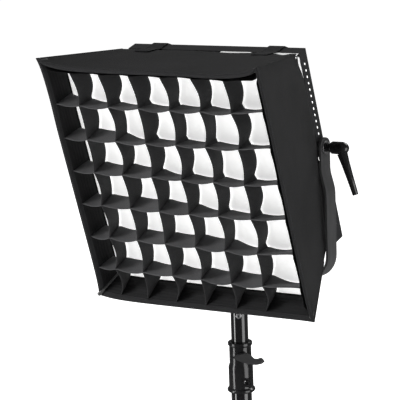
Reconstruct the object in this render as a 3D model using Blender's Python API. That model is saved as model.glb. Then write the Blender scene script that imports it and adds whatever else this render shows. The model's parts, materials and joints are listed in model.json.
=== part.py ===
"""Square grid softbox on an LED panel, in a yoke on the top of a light stand.

Units are metres, +Z is up and the softbox faces -Y. The origin is the centre
of the lower stand tube's bottom end. Everything on the head is modelled in the
head's own frame, whose origin is the tilt axis, and an empty tilts it.
"""
import math

import bmesh
import bpy
from mathutils import Matrix, Vector

# ---- driving dimensions ------------------------------------------------
GAP = 0.0003                  # clearance kept between touching solids
PIVOT_HEIGHT = 0.500          # tilt axis above the stand tube's cut end
TILT = math.radians(17.7)     # how far the head looks down at rest

PANEL = 0.287                 # LED panel, width and height
PANEL_DROP = 0.0017           # panel centre below the tilt axis
PANEL_WALL = 0.002
RIM_FRONT = 0.0064            # rim faces, forward and back of the tilt axis
RIM_BACK = 0.0110
REAR_SHELL_BACK = 0.0245
REAR_SHELL_TAPER = 0.0105
BEZEL_OUTER = 0.1415
BEZEL_INNER = 0.1220
PLATE_HALF = 0.1265
VENT_PITCH = 0.0094
VENTS_PER_SIDE = 27
BOX_WIDTH = 0.170             # control box on the panel's back
BOX_HEIGHT = 0.100
BOX_BACK = 0.0500
BOX_WALL = 0.0025
KNOB_X = 0.0520                # controls on the box's back, beside its middle
KNOB_Z = 0.0180
SWITCH_X = 0.0520
SWITCH_Z = -0.0300
SCREEN_Z = 0.0180

FABRIC = 0.0020               # laminated fabric wall
FRONT = 0.1560                # softbox front edge ahead of the tilt axis
FRONT_HALF_WIDTH = 0.1785
FRONT_TOP = 0.1755
FRONT_BOTTOM = -0.1890
REAR_HALF_WIDTH = 0.1455
REAR_TOP = 0.1445
REAR_BOTTOM = -0.1405
TOP_REAR_EDGE = 0.0120        # how far ahead of the axis each rear edge lies
BOTTOM_REAR_EDGE = 0.0400
EAR_X = 0.1820                # pointed corners of the front hem
EAR_TOP = 0.1880
EAR_BOTTOM = -0.1835
ROD_RADIUS = 0.0022
DIFFUSER_FRONT = 0.1175
DIFFUSER_THICK = 0.0012
TAPE_WIDTH = 0.0140
GRID_REAR = 0.1215
GRID_FRONT = 0.1520
GRID_STRIPS = 6
UPRIGHT_PITCH = 0.0503
UPRIGHT_SHIFT = -0.0086       # the upright strips lean: across per unit of height
UPRIGHT_LEAN = 0.0450
LEVEL_PITCH = 0.0517
LEVEL_MIDDLE = -0.0105
STRIP_THICK = 0.0012
BORDER_THICK = 0.0012
STRAP_WIDTH = 0.0250
STRAP_THICK = 0.0012
STRAP_X = 0.0980

YOKE_WIDTH = 0.0240           # flat bar of the yoke
YOKE_THICK = 0.0035
YOKE_ARM_TOP_X = 0.1516       # outer face of each arm above its joggle
YOKE_ARM_X = 0.1590           # and below it
JOGGLE_TOP = -0.0290
JOGGLE_BOTTOM = -0.0640
YOKE_CORNER = 0.0360
YOKE_BASE = -0.1860           # underside of the yoke's base
STUD_RADIUS = 0.0040
HOLE_RADIUS = 0.0044
LEVER_LEAN = math.radians(19.4)
LEVER_LENGTH = 0.0670

SPIGOT_RADIUS = 0.0080
RECEIVER_RADIUS = 0.0150
RECEIVER_BOTTOM = -0.2365
RISER_RADIUS = 0.0125
RISER_BORE = 0.0113
RISER_BOTTOM = 0.0500         # above the origin
TUBE_RADIUS = 0.0150
TUBE_BORE = 0.0135
TUBE_TOP = -0.3330
COLLAR_TOP = -0.2920
COLLAR_BOTTOM = -0.3665
RIVET_DROP = -0.2518
RIVET_ANGLE = math.radians(30.0)    # from the front, towards +X
CLAMP_ANGLE = math.radians(46.0)
CLAMP_DROP = -0.3120
SCREW_DROP = -0.3498
SCREW_ANGLE = math.radians(35.0)
SCREW_OFFSET = 0.0080

COLOURS = {
    "fabric_black": ((0.020, 0.020, 0.021), 0.0, 0.85),
    "fabric_white": ((0.85, 0.85, 0.84), 0.0, 0.80),
    "webbing_black": ((0.016, 0.016, 0.017), 0.0, 0.80),
    "metal_black": ((0.022, 0.022, 0.024), 0.6, 0.35),
    "tube_black": ((0.015, 0.015, 0.016), 0.5, 0.22),
    "plastic_black": ((0.020, 0.020, 0.021), 0.0, 0.45),
    "steel": ((0.62, 0.62, 0.63), 1.0, 0.25),
    "fibreglass": ((0.10, 0.10, 0.10), 0.0, 0.40),
    "acrylic": ((0.88, 0.88, 0.87), 0.0, 0.30),
    "circuit_board": ((0.82, 0.82, 0.80), 0.0, 0.50),
    "circuit_green": ((0.02, 0.12, 0.05), 0.0, 0.45),
    "screen": ((0.010, 0.012, 0.016), 0.0, 0.10),
    "nylon": ((0.030, 0.030, 0.032), 0.0, 0.50),
}


# ---- helpers -------------------------------------------------------------
def clear_scene():
    for obj in list(bpy.data.objects):
        bpy.data.objects.remove(obj, do_unlink=True)


def make_material(name, slot):
    colour, metallic, roughness = COLOURS[slot]
    material = bpy.data.materials.new(name)
    material.use_nodes = True
    shader = material.node_tree.nodes["Principled BSDF"]
    shader.inputs["Base Color"].default_value = (*colour, 1.0)
    shader.inputs["Metallic"].default_value = metallic
    shader.inputs["Roughness"].default_value = roughness
    material.diffuse_color = (*colour, 1.0)
    return material


def face_outwards(bm):
    bmesh.ops.recalc_face_normals(bm, faces=bm.faces)
    if bm.calc_volume(signed=True) < 0:
        bmesh.ops.reverse_faces(bm, faces=bm.faces)


def add_object(name, bm, slot=None, parent=None, smooth=True):
    """Turn a bmesh into an object; one without a slot is a hidden cutter."""
    face_outwards(bm)
    mesh = bpy.data.meshes.new(name)
    bm.to_mesh(mesh)
    bm.free()
    obj = bpy.data.objects.new(name, mesh)
    bpy.context.scene.collection.objects.link(obj)
    obj.parent = parent
    if slot is None:
        obj.hide_render = True
        obj.display_type = "WIRE"
        return obj
    mesh.materials.append(make_material(name, slot))
    if smooth:
        mesh.shade_smooth()
        mesh.set_sharp_from_angle(angle=math.radians(35.0))
    return obj


def boolean(target, tool, operation="DIFFERENCE"):
    modifier = target.modifiers.new(tool.name, "BOOLEAN")
    modifier.solver = "EXACT"
    modifier.operation = operation
    modifier.object = tool


def box(low, high):
    bm = bmesh.new()
    low = Vector(low)
    high = Vector(high)
    size = Matrix.Diagonal((*(high - low), 1.0))
    centre = Matrix.Translation((low + high) / 2)
    bmesh.ops.create_cube(bm, size=1.0, matrix=centre @ size)
    return bm


def turned(profile, steps=32, matrix=None):
    """Spin a closed profile of (radius, height) points about Z."""
    bm = bmesh.new()
    verts = [bm.verts.new((radius, 0.0, height)) for radius, height in profile]
    edges = [bm.edges.new((a, b)) for a, b in zip(verts, verts[1:] + verts[:1])]
    bmesh.ops.spin(bm, geom=verts + edges, cent=(0, 0, 0), axis=(0, 0, 1), dvec=(0, 0, 0),
                   angle=math.tau, steps=steps, use_merge=True, use_duplicate=False)
    bmesh.ops.remove_doubles(bm, verts=bm.verts, dist=1e-6)
    bmesh.ops.dissolve_degenerate(bm, edges=bm.edges, dist=1e-6)
    if matrix is not None:
        bm.transform(matrix)
    return bm


def disc(radius, low, high):
    return [(0.0, low), (radius, low), (radius, high), (0.0, high)]


def tube(outer, inner, low, high):
    return [(inner, low), (outer, low), (outer, high), (inner, high)]


def prism(outline, low, high, matrix):
    """Extrude a flat outline from low to high along the matrix's third axis."""
    bm = bmesh.new()
    verts = [bm.verts.new((a, b, low)) for a, b in outline]
    face = bm.faces.new(verts)
    extruded = bmesh.ops.extrude_face_region(bm, geom=[face])
    moved = [item for item in extruded["geom"] if isinstance(item, bmesh.types.BMVert)]
    bmesh.ops.translate(bm, verts=moved, vec=(0, 0, high - low))
    bmesh.ops.triangulate(bm, faces=[f for f in bm.faces if len(f.verts) > 4])
    bm.transform(matrix)
    return bm


def frame_matrix(first, second, third, origin=(0, 0, 0)):
    """Matrix whose columns are the three axes."""
    matrix = Matrix((first, second, third)).transposed().to_4x4()
    matrix.translation = origin
    return matrix


ALONG_X = frame_matrix((0, 1, 0), (0, 0, 1), (1, 0, 0))     # outline in Y and Z


def arc(centre, radius, start_deg, end_deg, steps):
    points = []
    for step in range(steps + 1):
        angle = math.radians(start_deg + (end_deg - start_deg) * step / steps)
        points.append((centre[0] + radius * math.cos(angle), centre[1] + radius * math.sin(angle)))
    return points


def ribbon(path, thickness):
    """Outline of a strip of even thickness that follows a flat path."""
    left = []
    right = []
    for index, point in enumerate(path):
        before = Vector(path[max(index - 1, 0)])
        after = Vector(path[min(index + 1, len(path) - 1)])
        here = Vector(point)
        steps = [s.normalized() for s in (here - before, after - here) if s.length > 0]
        normals = [Vector((-s.y, s.x)) for s in steps]
        normal = sum(normals, Vector((0, 0))).normalized()
        reach = thickness / 2 / normal.dot(normals[0])
        left.append(here + normal * reach)
        right.append(here - normal * reach)
    return [tuple(p) for p in left + right[::-1]]


def ring_between(outer_back, outer_front, inner_back, inner_front):
    """Closed ring through four loops of points that have the same count."""
    bm = bmesh.new()
    loops = (outer_back, outer_front, inner_front, inner_back)
    rings = [[bm.verts.new(point) for point in loop] for loop in loops]
    count = len(outer_back)
    for ring, following in zip(rings, rings[1:] + rings[:1]):
        for index in range(count):
            other = (index + 1) % count
            bm.faces.new((ring[index], ring[other], following[other], following[index]))
    return bm


def slab_between(rear, front, inward, across=12, along=5):
    """Closed sheet of fabric between two edges, each a function of 0 to 1."""
    bm = bmesh.new()
    sides = []
    for offset in (Vector((0, 0, 0)), Vector(inward)):
        grid = []
        for i in range(across + 1):
            a = Vector(rear(i / across))
            b = Vector(front(i / across))
            grid.append([bm.verts.new(a.lerp(b, j / along) + offset) for j in range(along + 1)])
        sides.append(grid)
    outer, inner = sides
    for grid in sides:
        for i in range(across):
            for j in range(along):
                bm.faces.new((grid[i][j], grid[i + 1][j], grid[i + 1][j + 1], grid[i][j + 1]))
    rim = [(i, 0) for i in range(across)]
    rim += [(across, j) for j in range(along)]
    rim += [(i, along) for i in range(across, 0, -1)]
    rim += [(0, j) for j in range(along, 0, -1)]
    for (i, j), (k, m) in zip(rim, rim[1:] + rim[:1]):
        bm.faces.new((outer[i][j], outer[k][m], inner[k][m], inner[i][j]))
    return bm


def lerp(a, b, t):
    return a + (b - a) * t


def head_point(x, forward, up):
    """Head coordinates of a point given by how far forward and up it is."""
    return (x, -forward, up)


# ---- softbox ---------------------------------------------------------------
def side_rear_edge(up):
    """How far ahead of the tilt axis the side fabric starts at a height."""
    lower = 0.033 * (max(0.05 - up, 0.0) / 0.1905) ** 1.6
    upper = 0.007 * (max(up - 0.08, 0.0) / 0.065) ** 2
    return 0.007 + lower + upper


def softbox_side(name, side, head):
    def rear(t):
        up = lerp(REAR_BOTTOM, REAR_TOP, t)
        return head_point(side * REAR_HALF_WIDTH, side_rear_edge(up), up)

    def front(t):
        return head_point(side * FRONT_HALF_WIDTH, FRONT, lerp(FRONT_BOTTOM, FRONT_TOP, t))

    add_object(name, slab_between(rear, front, (-side * FABRIC, 0, 0)), "fabric_black", head)


def softbox_flat(name, upright, head):
    inset = FABRIC + 2 * GAP
    rear_up, rear_forward = (REAR_TOP, TOP_REAR_EDGE) if upright > 0 else (REAR_BOTTOM, BOTTOM_REAR_EDGE)
    front_up = FRONT_TOP if upright > 0 else FRONT_BOTTOM

    def rear(t):
        return head_point(lerp(-1, 1, t) * (REAR_HALF_WIDTH - inset), rear_forward, rear_up)

    def front(t):
        return head_point(lerp(-1, 1, t) * (FRONT_HALF_WIDTH - inset), FRONT, front_up)

    add_object(name, slab_between(rear, front, (0, 0, -upright * FABRIC)), "fabric_black", head)


def corner_rods(head):
    inset = 0.0060
    for side, side_name in ((-1, "left"), (1, "right")):
        for upright, level in ((1, "top"), (-1, "bottom")):
            rear_forward = TOP_REAR_EDGE if upright > 0 else BOTTOM_REAR_EDGE
            rear_up = REAR_TOP if upright > 0 else REAR_BOTTOM
            front_up = FRONT_TOP if upright > 0 else FRONT_BOTTOM
            start = Vector(head_point(side * (REAR_HALF_WIDTH - inset), rear_forward + 0.009,
                                      rear_up - upright * inset))
            end = Vector(head_point(side * (FRONT_HALF_WIDTH - inset), FRONT - 0.002,
                                    front_up - upright * inset))
            aim = (end - start).to_track_quat("Z", "Y").to_matrix().to_4x4()
            aim.translation = start
            profile = disc(ROD_RADIUS, 0.0, (end - start).length)
            add_object(f"corner_rod_{level}_{side_name}", turned(profile, 10, aim), "fibreglass", head)


def hem_loop(forward, points):
    return [head_point(x, forward, up) for x, up in points]


def front_hem(head):
    def outer(side):
        return [(0.0, FRONT_BOTTOM - 0.0010), (side * 0.1500, FRONT_BOTTOM - 0.0008),
                (side * EAR_X, EAR_BOTTOM), (side * (FRONT_HALF_WIDTH + 0.001), -0.1600),
                (side * (FRONT_HALF_WIDTH + 0.001), 0.1550), (side * EAR_X, EAR_TOP),
                (side * 0.1600, FRONT_TOP + 0.0080), (side * 0.1350, FRONT_TOP + 0.0015),
                (0.0, FRONT_TOP)]

    def inner(side):
        low = FRONT_BOTTOM + 0.0070
        high = FRONT_TOP - 0.0070
        wide = FRONT_HALF_WIDTH - 0.0070
        return [(0.0, low), (side * 0.1480, low), (side * wide, low + 0.003), (side * wide, -0.1560),
                (side * wide, 0.1500), (side * wide, high - 0.003), (side * 0.1570, high),
                (side * 0.1350, high), (0.0, high)]

    outer_points = outer(1) + outer(-1)[-2:0:-1]
    inner_points = inner(1) + inner(-1)[-2:0:-1]
    low = FRONT + GAP
    high = low + 0.0015
    bm = ring_between(hem_loop(low, outer_points), hem_loop(high, outer_points),
                      hem_loop(low, inner_points), hem_loop(high, inner_points))
    add_object("front_hem", bm, "webbing_black", head, smooth=False)


def wall_clearance(forward):
    """Half width, top and bottom of the clear space inside the shell."""
    rise = (forward - BOTTOM_REAR_EDGE) / (FRONT - BOTTOM_REAR_EDGE)
    top_rise = (forward - TOP_REAR_EDGE) / (FRONT - TOP_REAR_EDGE)
    spare = FABRIC + 2 * GAP
    half = lerp(REAR_HALF_WIDTH, FRONT_HALF_WIDTH, rise) - spare
    top = lerp(REAR_TOP, FRONT_TOP, top_rise) - spare
    bottom = lerp(REAR_BOTTOM, FRONT_BOTTOM, rise) + spare
    return half, top, bottom


def lining_loop(forward, inset=0.0):
    """Loop of points round the inside of the shell, cut clear of the corner rods."""
    half, top, bottom = wall_clearance(forward)
    half -= inset
    top -= inset
    bottom += inset
    cut = 0.0150
    points = [(-half + cut, bottom), (half - cut, bottom), (half, bottom + cut), (half, top - cut),
              (half - cut, top), (-half + cut, top), (-half, top - cut), (-half, bottom + cut)]
    return hem_loop(forward, points)


def lining_ring(name, rear, front, slot, head):
    bm = ring_between(lining_loop(rear), lining_loop(front),
                      lining_loop(rear, BORDER_THICK), lining_loop(front, BORDER_THICK))
    add_object(name, bm, slot, head, smooth=False)


def skirt_loop(inset, at_panel):
    """Loop where the rear skirt meets either the shell's rear edge or the panel's bezel."""
    steps = 8
    if at_panel:
        half = BEZEL_OUTER - 0.0010 - inset
        top = BEZEL_OUTER - PANEL_DROP - 0.0008 - inset
        bottom = -BEZEL_OUTER - PANEL_DROP + 0.0008 + inset
    else:
        half = REAR_HALF_WIDTH - FABRIC - 0.0005 - inset
        top = REAR_TOP - FABRIC - 0.0005 - inset
        bottom = REAR_BOTTOM + FABRIC + 0.0005 + inset

    def forward(up):
        if at_panel:
            return RIM_FRONT + 0.0036
        return side_rear_edge(up) + 0.0040

    side = [(half, lerp(bottom, top, step / steps)) for step in range(steps + 1)]
    points = [(x, forward(up), up) for x, up in side]
    points += [(-x, forward(up), up) for x, up in side[::-1]]
    return [head_point(*point) for point in points]


def rear_skirt(head):
    """Thin black gusset that closes the gap from the shell's rear edge to the panel."""
    bm = ring_between(skirt_loop(0.0, True), skirt_loop(0.0, False),
                      skirt_loop(0.0010, True), skirt_loop(0.0010, False))
    add_object("rear_skirt", bm, "fabric_black", head, smooth=False)


def diffuser(head):
    bm = bmesh.new()
    rear = DIFFUSER_FRONT - DIFFUSER_THICK
    loops = [[bm.verts.new(p) for p in hem_loop(f, [(x, up) for x, _, up in lining_loop(rear, 0.0004)])]
             for f in (rear, DIFFUSER_FRONT)]
    bm.faces.new(loops[0])
    bm.faces.new(loops[1][::-1])
    for i in range(len(loops[0])):
        j = (i + 1) % len(loops[0])
        bm.faces.new((loops[0][i], loops[0][j], loops[1][j], loops[1][i]))
    add_object("diffuser", bm, "fabric_white", head, smooth=False)


def upright_position(index, up):
    """Across position of an upright strip at a height; the strips lean a little."""
    middle = (index - (GRID_STRIPS - 1) / 2) * UPRIGHT_PITCH
    return middle + UPRIGHT_SHIFT + UPRIGHT_LEAN * up


def level_position(index):
    return LEVEL_MIDDLE + (index - (GRID_STRIPS - 1) / 2) * LEVEL_PITCH


def notched(rear_low, front_low, rear_high, front_high, crossings, from_front):
    """Outline of one strip in (depth, length), with a half-lap notch at each crossing."""
    middle = (GRID_REAR + GRID_FRONT) / 2
    half = STRIP_THICK / 2 + 0.0004
    floor = middle - 0.0002 if from_front else middle + 0.0002
    edge = GRID_FRONT if from_front else GRID_REAR
    notches = []
    for at in crossings:
        notches += [(edge, at - half), (floor, at - half), (floor, at + half), (edge, at + half)]
    if from_front:
        return [(GRID_REAR, rear_low), (GRID_FRONT, front_low)] + notches + [
            (GRID_FRONT, front_high), (GRID_REAR, rear_high)]
    return [(GRID_FRONT, front_high), (GRID_FRONT, front_low), (GRID_REAR, rear_low)] + notches + [
        (GRID_REAR, rear_high)]


def upright_strip(index, head):
    inset = BORDER_THICK + GAP
    _, top_rear, bottom_rear = wall_clearance(GRID_REAR)
    _, top_front, bottom_front = wall_clearance(GRID_FRONT)
    levels = [level_position(other) for other in range(GRID_STRIPS)]
    outline = notched(bottom_rear + inset, bottom_front + inset, top_rear - inset, top_front - inset,
                      levels, True)
    depth_up = frame_matrix((0, -1, 0), (0, 0, 1), (1, 0, 0))
    bm = prism(outline, -STRIP_THICK / 2, STRIP_THICK / 2, depth_up)
    for vert in bm.verts:
        vert.co.x += upright_position(index, vert.co.z)
    add_object(f"grid_strip_upright_{index + 1}", bm, "fabric_black", head, smooth=False)


def level_strip(index, head):
    inset = BORDER_THICK + GAP
    half_rear = wall_clearance(GRID_REAR)[0] - inset
    half_front = wall_clearance(GRID_FRONT)[0] - inset
    up = level_position(index)
    uprights = [upright_position(other, up) for other in range(GRID_STRIPS)]
    outline = notched(-half_rear, -half_front, half_rear, half_front, uprights, False)
    depth_across = frame_matrix((0, -1, 0), (1, 0, 0), (0, 0, 1))
    bm = prism(outline, up - STRIP_THICK / 2, up + STRIP_THICK / 2, depth_across)
    add_object(f"grid_strip_level_{index + 1}", bm, "fabric_black", head, smooth=False)


def strap_path(upright):
    """(depth, height) of a strap from the softbox, over the rim, to the panel's back."""
    lift = GAP + STRAP_THICK / 2
    rear_forward = TOP_REAR_EDGE if upright > 0 else BOTTOM_REAR_EDGE
    rear_up = abs(REAR_TOP if upright > 0 else REAR_BOTTOM)
    front_up = abs(FRONT_TOP if upright > 0 else FRONT_BOTTOM)
    slope = (front_up - rear_up) / (FRONT - rear_forward)
    rim = PANEL / 2 - upright * PANEL_DROP + lift + 0.0002
    back = -REAR_SHELL_BACK - lift - 0.0002
    reach = 0.0220
    return [(rear_forward + reach, rear_up + reach * slope + lift + 0.0002),
            (rear_forward, rear_up + lift + 0.0002),
            (RIM_FRONT + 0.0005, rim), (-RIM_BACK - 0.0018, rim),
            (back + 0.0002, rim - 0.0108), (back, rim - 0.0130), (back, rim - 0.0510)]


def straps(head):
    for upright, level in ((1, "top"), (-1, "bottom")):
        outline = [(depth, upright * up) for depth, up in ribbon(strap_path(upright), STRAP_THICK)]
        for side, side_name in ((-1, "left"), (1, "right")):
            low = side * STRAP_X - STRAP_WIDTH / 2
            matrix = frame_matrix((0, -1, 0), (0, 0, 1), (1, 0, 0))
            add_object(f"strap_{level}_{side_name}", prism(outline, low, low + STRAP_WIDTH, matrix),
                       "webbing_black", head, smooth=False)


# ---- LED panel ---------------------------------------------------------------
def square_ring(outer, inner, back, front, drop):
    def loop(half, forward):
        corners = [(-half, -half), (half, -half), (half, half), (-half, half)]
        return [head_point(x, forward, z - drop) for x, z in corners]
    return ring_between(loop(outer, back), loop(outer, front), loop(inner, back), loop(inner, front))


def panel_frame(head):
    bm = square_ring(PANEL / 2, PANEL / 2 - PANEL_WALL, -RIM_BACK, RIM_FRONT, PANEL_DROP)
    frame = add_object("panel_frame", bm, "metal_black", head)
    for side, name in ((-1, "left"), (1, "right")):
        inner = side * 0.1285
        outer = side * (PANEL / 2 - PANEL_WALL / 2)
        boss = box((min(inner, outer), -0.0058, -0.0130), (max(inner, outer), 0.0095, 0.0130))
        boolean(frame, add_object(f"cut_boss_{name}", boss, None, head), "UNION")
        hole = prism(arc((0, 0), HOLE_RADIUS, 0, 337.5, 15), min(side * 0.131, side * 0.150),
                     max(side * 0.131, side * 0.150), ALONG_X)
        boolean(frame, add_object(f"cut_pivot_{name}", hole, None, head))
    boolean(frame, add_object("cut_vents", vent_cutters(), None, head))


def vent_outline():
    """A slanted oval, 3 by 4.6 mm, about the origin."""
    lean = math.radians(20.0)
    points = []
    for step in range(10):
        angle = math.tau * step / 10
        a = 0.0015 * math.cos(angle)
        b = 0.0023 * math.sin(angle)
        points.append((a * math.cos(lean) - b * math.sin(lean), a * math.sin(lean) + b * math.cos(lean)))
    return points


def vent_cutters():
    """One mesh of separate plugs along both side walls, none at the pivot bosses."""
    joined = bmesh.new()
    for index in range(VENTS_PER_SIDE):
        up = (index - (VENTS_PER_SIDE - 1) / 2) * VENT_PITCH
        if abs(up) < 0.0180:
            continue
        for side in (-1, 1):
            low = min(side * 0.1400, side * 0.1460)
            outline = [(y + 0.0025, z + up) for y, z in vent_outline()]
            plug = prism(outline, low, low + 0.0060, ALONG_X)
            mesh = bpy.data.meshes.new("vent_plug")
            face_outwards(plug)
            plug.to_mesh(mesh)
            plug.free()
            joined.from_mesh(mesh)
            bpy.data.meshes.remove(mesh)
    return joined


def panel_optics(head):
    bezel = square_ring(BEZEL_OUTER, BEZEL_INNER, RIM_FRONT + GAP, RIM_FRONT + 0.0033, PANEL_DROP)
    add_object("front_bezel", bezel, "plastic_black", head)
    plate = box(head_point(-PLATE_HALF, RIM_FRONT, -PLATE_HALF - PANEL_DROP),
                head_point(PLATE_HALF, RIM_FRONT - 0.0030, PLATE_HALF - PANEL_DROP))
    add_object("light_plate", plate, "acrylic", head, smooth=False)
    board_half = 0.1260
    board = box((-board_half, 0.0020, -board_half - PANEL_DROP),
                (board_half, 0.0036, board_half - PANEL_DROP))
    led_board = add_object("led_board", board, "circuit_board", head, smooth=False)
    boolean(led_board, add_object("cut_led_chips", led_chips(), None, head), "UNION")


def led_chips():
    chips = bmesh.new()
    count = 8
    pitch = 0.0300
    for row in range(count):
        for column in range(count):
            x = (column - (count - 1) / 2) * pitch
            z = (row - (count - 1) / 2) * pitch - PANEL_DROP
            size = Matrix.Diagonal((0.0050, 0.0012, 0.0050, 1.0))
            bmesh.ops.create_cube(chips, size=1.0, matrix=Matrix.Translation((x, 0.0018, z)) @ size)
    return chips


def pan(outer_front, outer_back, front, back, wall, drop):
    """Tray that is open towards the front, as (half width, half height) at each face."""
    def loop(halves, y, inset):
        w = halves[0] - inset
        h = halves[1] - inset
        return [(-w, y, -h - drop), (w, y, -h - drop), (w, y, h - drop), (-w, y, h - drop)]

    bm = bmesh.new()
    loops = (loop(outer_back, back, 0.0), loop(outer_front, front, 0.0), loop(outer_front, front, wall),
             loop(outer_back, back - wall, wall))
    rings = [[bm.verts.new(p) for p in points] for points in loops]
    for ring, following in zip(rings, rings[1:]):
        for i in range(4):
            j = (i + 1) % 4
            bm.faces.new((ring[i], ring[j], following[j], following[i]))
    bm.faces.new(rings[0])
    bm.faces.new(rings[3])
    return bm


def rear_shell(head):
    front = (PANEL / 2 - 0.0010, PANEL / 2 - 0.0010)
    back = (front[0] - REAR_SHELL_TAPER, front[1] - REAR_SHELL_TAPER)
    bm = pan(front, back, RIM_BACK + GAP, REAR_SHELL_BACK, PANEL_WALL, PANEL_DROP)
    shell = add_object("rear_shell", bm, "metal_black", head)
    slots = bmesh.new()
    for upright in (-1, 1):
        for index in range(7):
            x = (index - 3) * 0.0180
            z = upright * 0.0850 - PANEL_DROP
            size = Matrix.Diagonal((0.0040, 0.0100, 0.0360, 1.0))
            centre = Matrix.Translation((x, REAR_SHELL_BACK - 0.001, z))
            bmesh.ops.create_cube(slots, size=1.0, matrix=centre @ size)
    boolean(shell, add_object("cut_cooling_slots", slots, None, head))


def control_box(head):
    halves = (BOX_WIDTH / 2, BOX_HEIGHT / 2)
    back = (halves[0] - 0.004, halves[1] - 0.004)
    bm = pan(halves, back, REAR_SHELL_BACK + GAP, BOX_BACK, BOX_WALL, 0.0)
    case = add_object("control_box", bm, "plastic_black", head)
    backward = frame_matrix((-1, 0, 0), (0, 0, 1), (0, 1, 0))
    for side in (-1, 1):
        centre = (-side * KNOB_X, KNOB_Z)
        hole = prism(arc(centre, 0.0034, 0, 330, 11), BOX_BACK - 0.006, BOX_BACK + 0.004, backward)
        boolean(case, add_object(f"cut_knob_{side + 1}", hole, None, head))
    pocket = box((-0.0262, BOX_BACK - 0.0012, SCREEN_Z - 0.0122),
                 (0.0262, BOX_BACK + 0.002, SCREEN_Z + 0.0122))
    boolean(case, add_object("cut_screen", pocket, None, head))
    opening = box((SWITCH_X - 0.0108, BOX_BACK - 0.006, SWITCH_Z - 0.0073),
                  (SWITCH_X + 0.0108, BOX_BACK + 0.004, SWITCH_Z + 0.0073))
    boolean(case, add_object("cut_switch", opening, None, head))
    socket = prism(arc((0.0400, 0.0380), 0.0063, 0, 345, 23), -0.0600, -0.0400,
                   frame_matrix((1, 0, 0), (0, 1, 0), (0, 0, 1)))
    boolean(case, add_object("cut_inlet", socket, None, head))


def control_pieces(head):
    screen = box((-0.0258, BOX_BACK - 0.0009, SCREEN_Z - 0.0118),
                 (0.0258, BOX_BACK - 0.0001, SCREEN_Z + 0.0118))
    add_object("display_window", screen, "screen", head, smooth=False)
    board = box((-0.0700, 0.0300, -0.0400), (0.0700, 0.0316, 0.0290))
    add_object("driver_board", board, "circuit_green", head, smooth=False)
    inlet = turned([(0.0030, -0.0505), (0.0078, -0.0505), (0.0078, -0.0503), (0.0060, -0.0503),
                    (0.0060, -0.0400), (0.0000, -0.0400), (0.0000, -0.0440), (0.0030, -0.0440)], 20,
                   Matrix.Translation((0.0400, 0.0380, 0.0)))
    add_object("power_inlet", inlet, "plastic_black", head)
    knob("dimmer_knob", -KNOB_X, head)
    knob("colour_knob", KNOB_X, head)
    rocker_switch(head)


def knob(name, x, head):
    """Control knob with a shallow grip flute, turning about its own Y axis."""
    start = GAP + 0.0002
    bm = turned([(0.0, -0.0050), (0.0030, -0.0050), (0.0030, start), (0.0110, start), (0.0110, 0.0110),
                 (0.0100, 0.0120), (0.0, 0.0120)], 24, frame_matrix((1, 0, 0), (0, 0, -1), (0, 1, 0)))
    obj = add_object(name, bm, "plastic_black", head)
    obj.location = (x, BOX_BACK, KNOB_Z)
    mark = box((-0.0005, 0.0112, 0.0040), (0.0005, 0.0140, 0.0120))
    groove = add_object(f"cut_{name}", mark, None, obj)
    boolean(obj, groove)


def rocker_switch(head):
    """Rocker on a pin through its own middle; at rest its top half is pressed in."""
    half = 0.0068
    outline = [(-0.0040, -half + 0.0008), (0.0022, -half), (0.0004, 0.0), (0.0006, half - 0.0002),
               (-0.0040, half - 0.0012)]
    bm = prism(outline, -0.0104, 0.0104, frame_matrix((0, 1, 0), (0, 0, 1), (1, 0, 0)))
    obj = add_object("power_switch", bm, "plastic_black", head, smooth=False)
    obj.location = (SWITCH_X, BOX_BACK - 0.0010, SWITCH_Z)


# ---- yoke -------------------------------------------------------------------
def yoke_profile():
    """Centre line of half the yoke's bar in (X, Z), from its arm's top to the middle."""
    half = YOKE_THICK / 2
    top_x = YOKE_ARM_TOP_X - half
    low_x = YOKE_ARM_X - half
    radius = YOKE_CORNER - half
    base = YOKE_BASE + half
    points = [(top_x, 0.0200), (top_x, JOGGLE_TOP)]
    for step in range(1, 6):
        t = step / 6
        ease = t * t * (3 - 2 * t)
        points.append((lerp(top_x, low_x, ease), lerp(JOGGLE_TOP, JOGGLE_BOTTOM, t)))
    points.append((low_x, JOGGLE_BOTTOM))
    points += arc((low_x - radius, base + radius), radius, 0, -90, 9)
    return points


def yoke(turning):
    right = yoke_profile()
    left = [(-x, z) for x, z in right[::-1]]
    outline = ribbon(right + left, YOKE_THICK)
    half = YOKE_WIDTH / 2
    matrix = frame_matrix((1, 0, 0), (0, 0, 1), (0, -1, 0), (0, 0, PIVOT_HEIGHT))
    bar = add_object("yoke_bar", prism(outline, -half, half, matrix), "metal_black", turning)
    end_radius = half + 0.0015
    keep = [(-half, YOKE_BASE - 0.01), (half, YOKE_BASE - 0.01)]
    keep += [(y, z) for y, z in arc((0.0, 0.0), end_radius, 27.3, 152.7, 12)]
    mask = prism(keep, -0.2, 0.2, Matrix.Translation((0, 0, PIVOT_HEIGHT)) @ ALONG_X)
    boolean(bar, add_object("cut_arm_ends", mask, None, turning), "INTERSECT")
    holes = prism(arc((0, 0), HOLE_RADIUS, 0, 337.5, 15), -0.2, 0.2,
                  Matrix.Translation((0, 0, PIVOT_HEIGHT)) @ ALONG_X)
    boolean(bar, add_object("cut_arm_holes", holes, None, turning))
    base_hole = turned(disc(HOLE_RADIUS, YOKE_BASE - 0.01, YOKE_BASE + 0.02), 16,
                       Matrix.Translation((0, 0, PIVOT_HEIGHT)))
    boolean(bar, add_object("cut_base_hole", base_hole, None, turning))


def side_matrix(side):
    """Turned parts on the tilt axis: their Z runs outwards along X."""
    if side > 0:
        return frame_matrix((0, 1, 0), (0, 0, 1), (1, 0, 0), (0, 0, PIVOT_HEIGHT))
    return frame_matrix((0, -1, 0), (0, 0, 1), (-1, 0, 0), (0, 0, PIVOT_HEIGHT))


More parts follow.
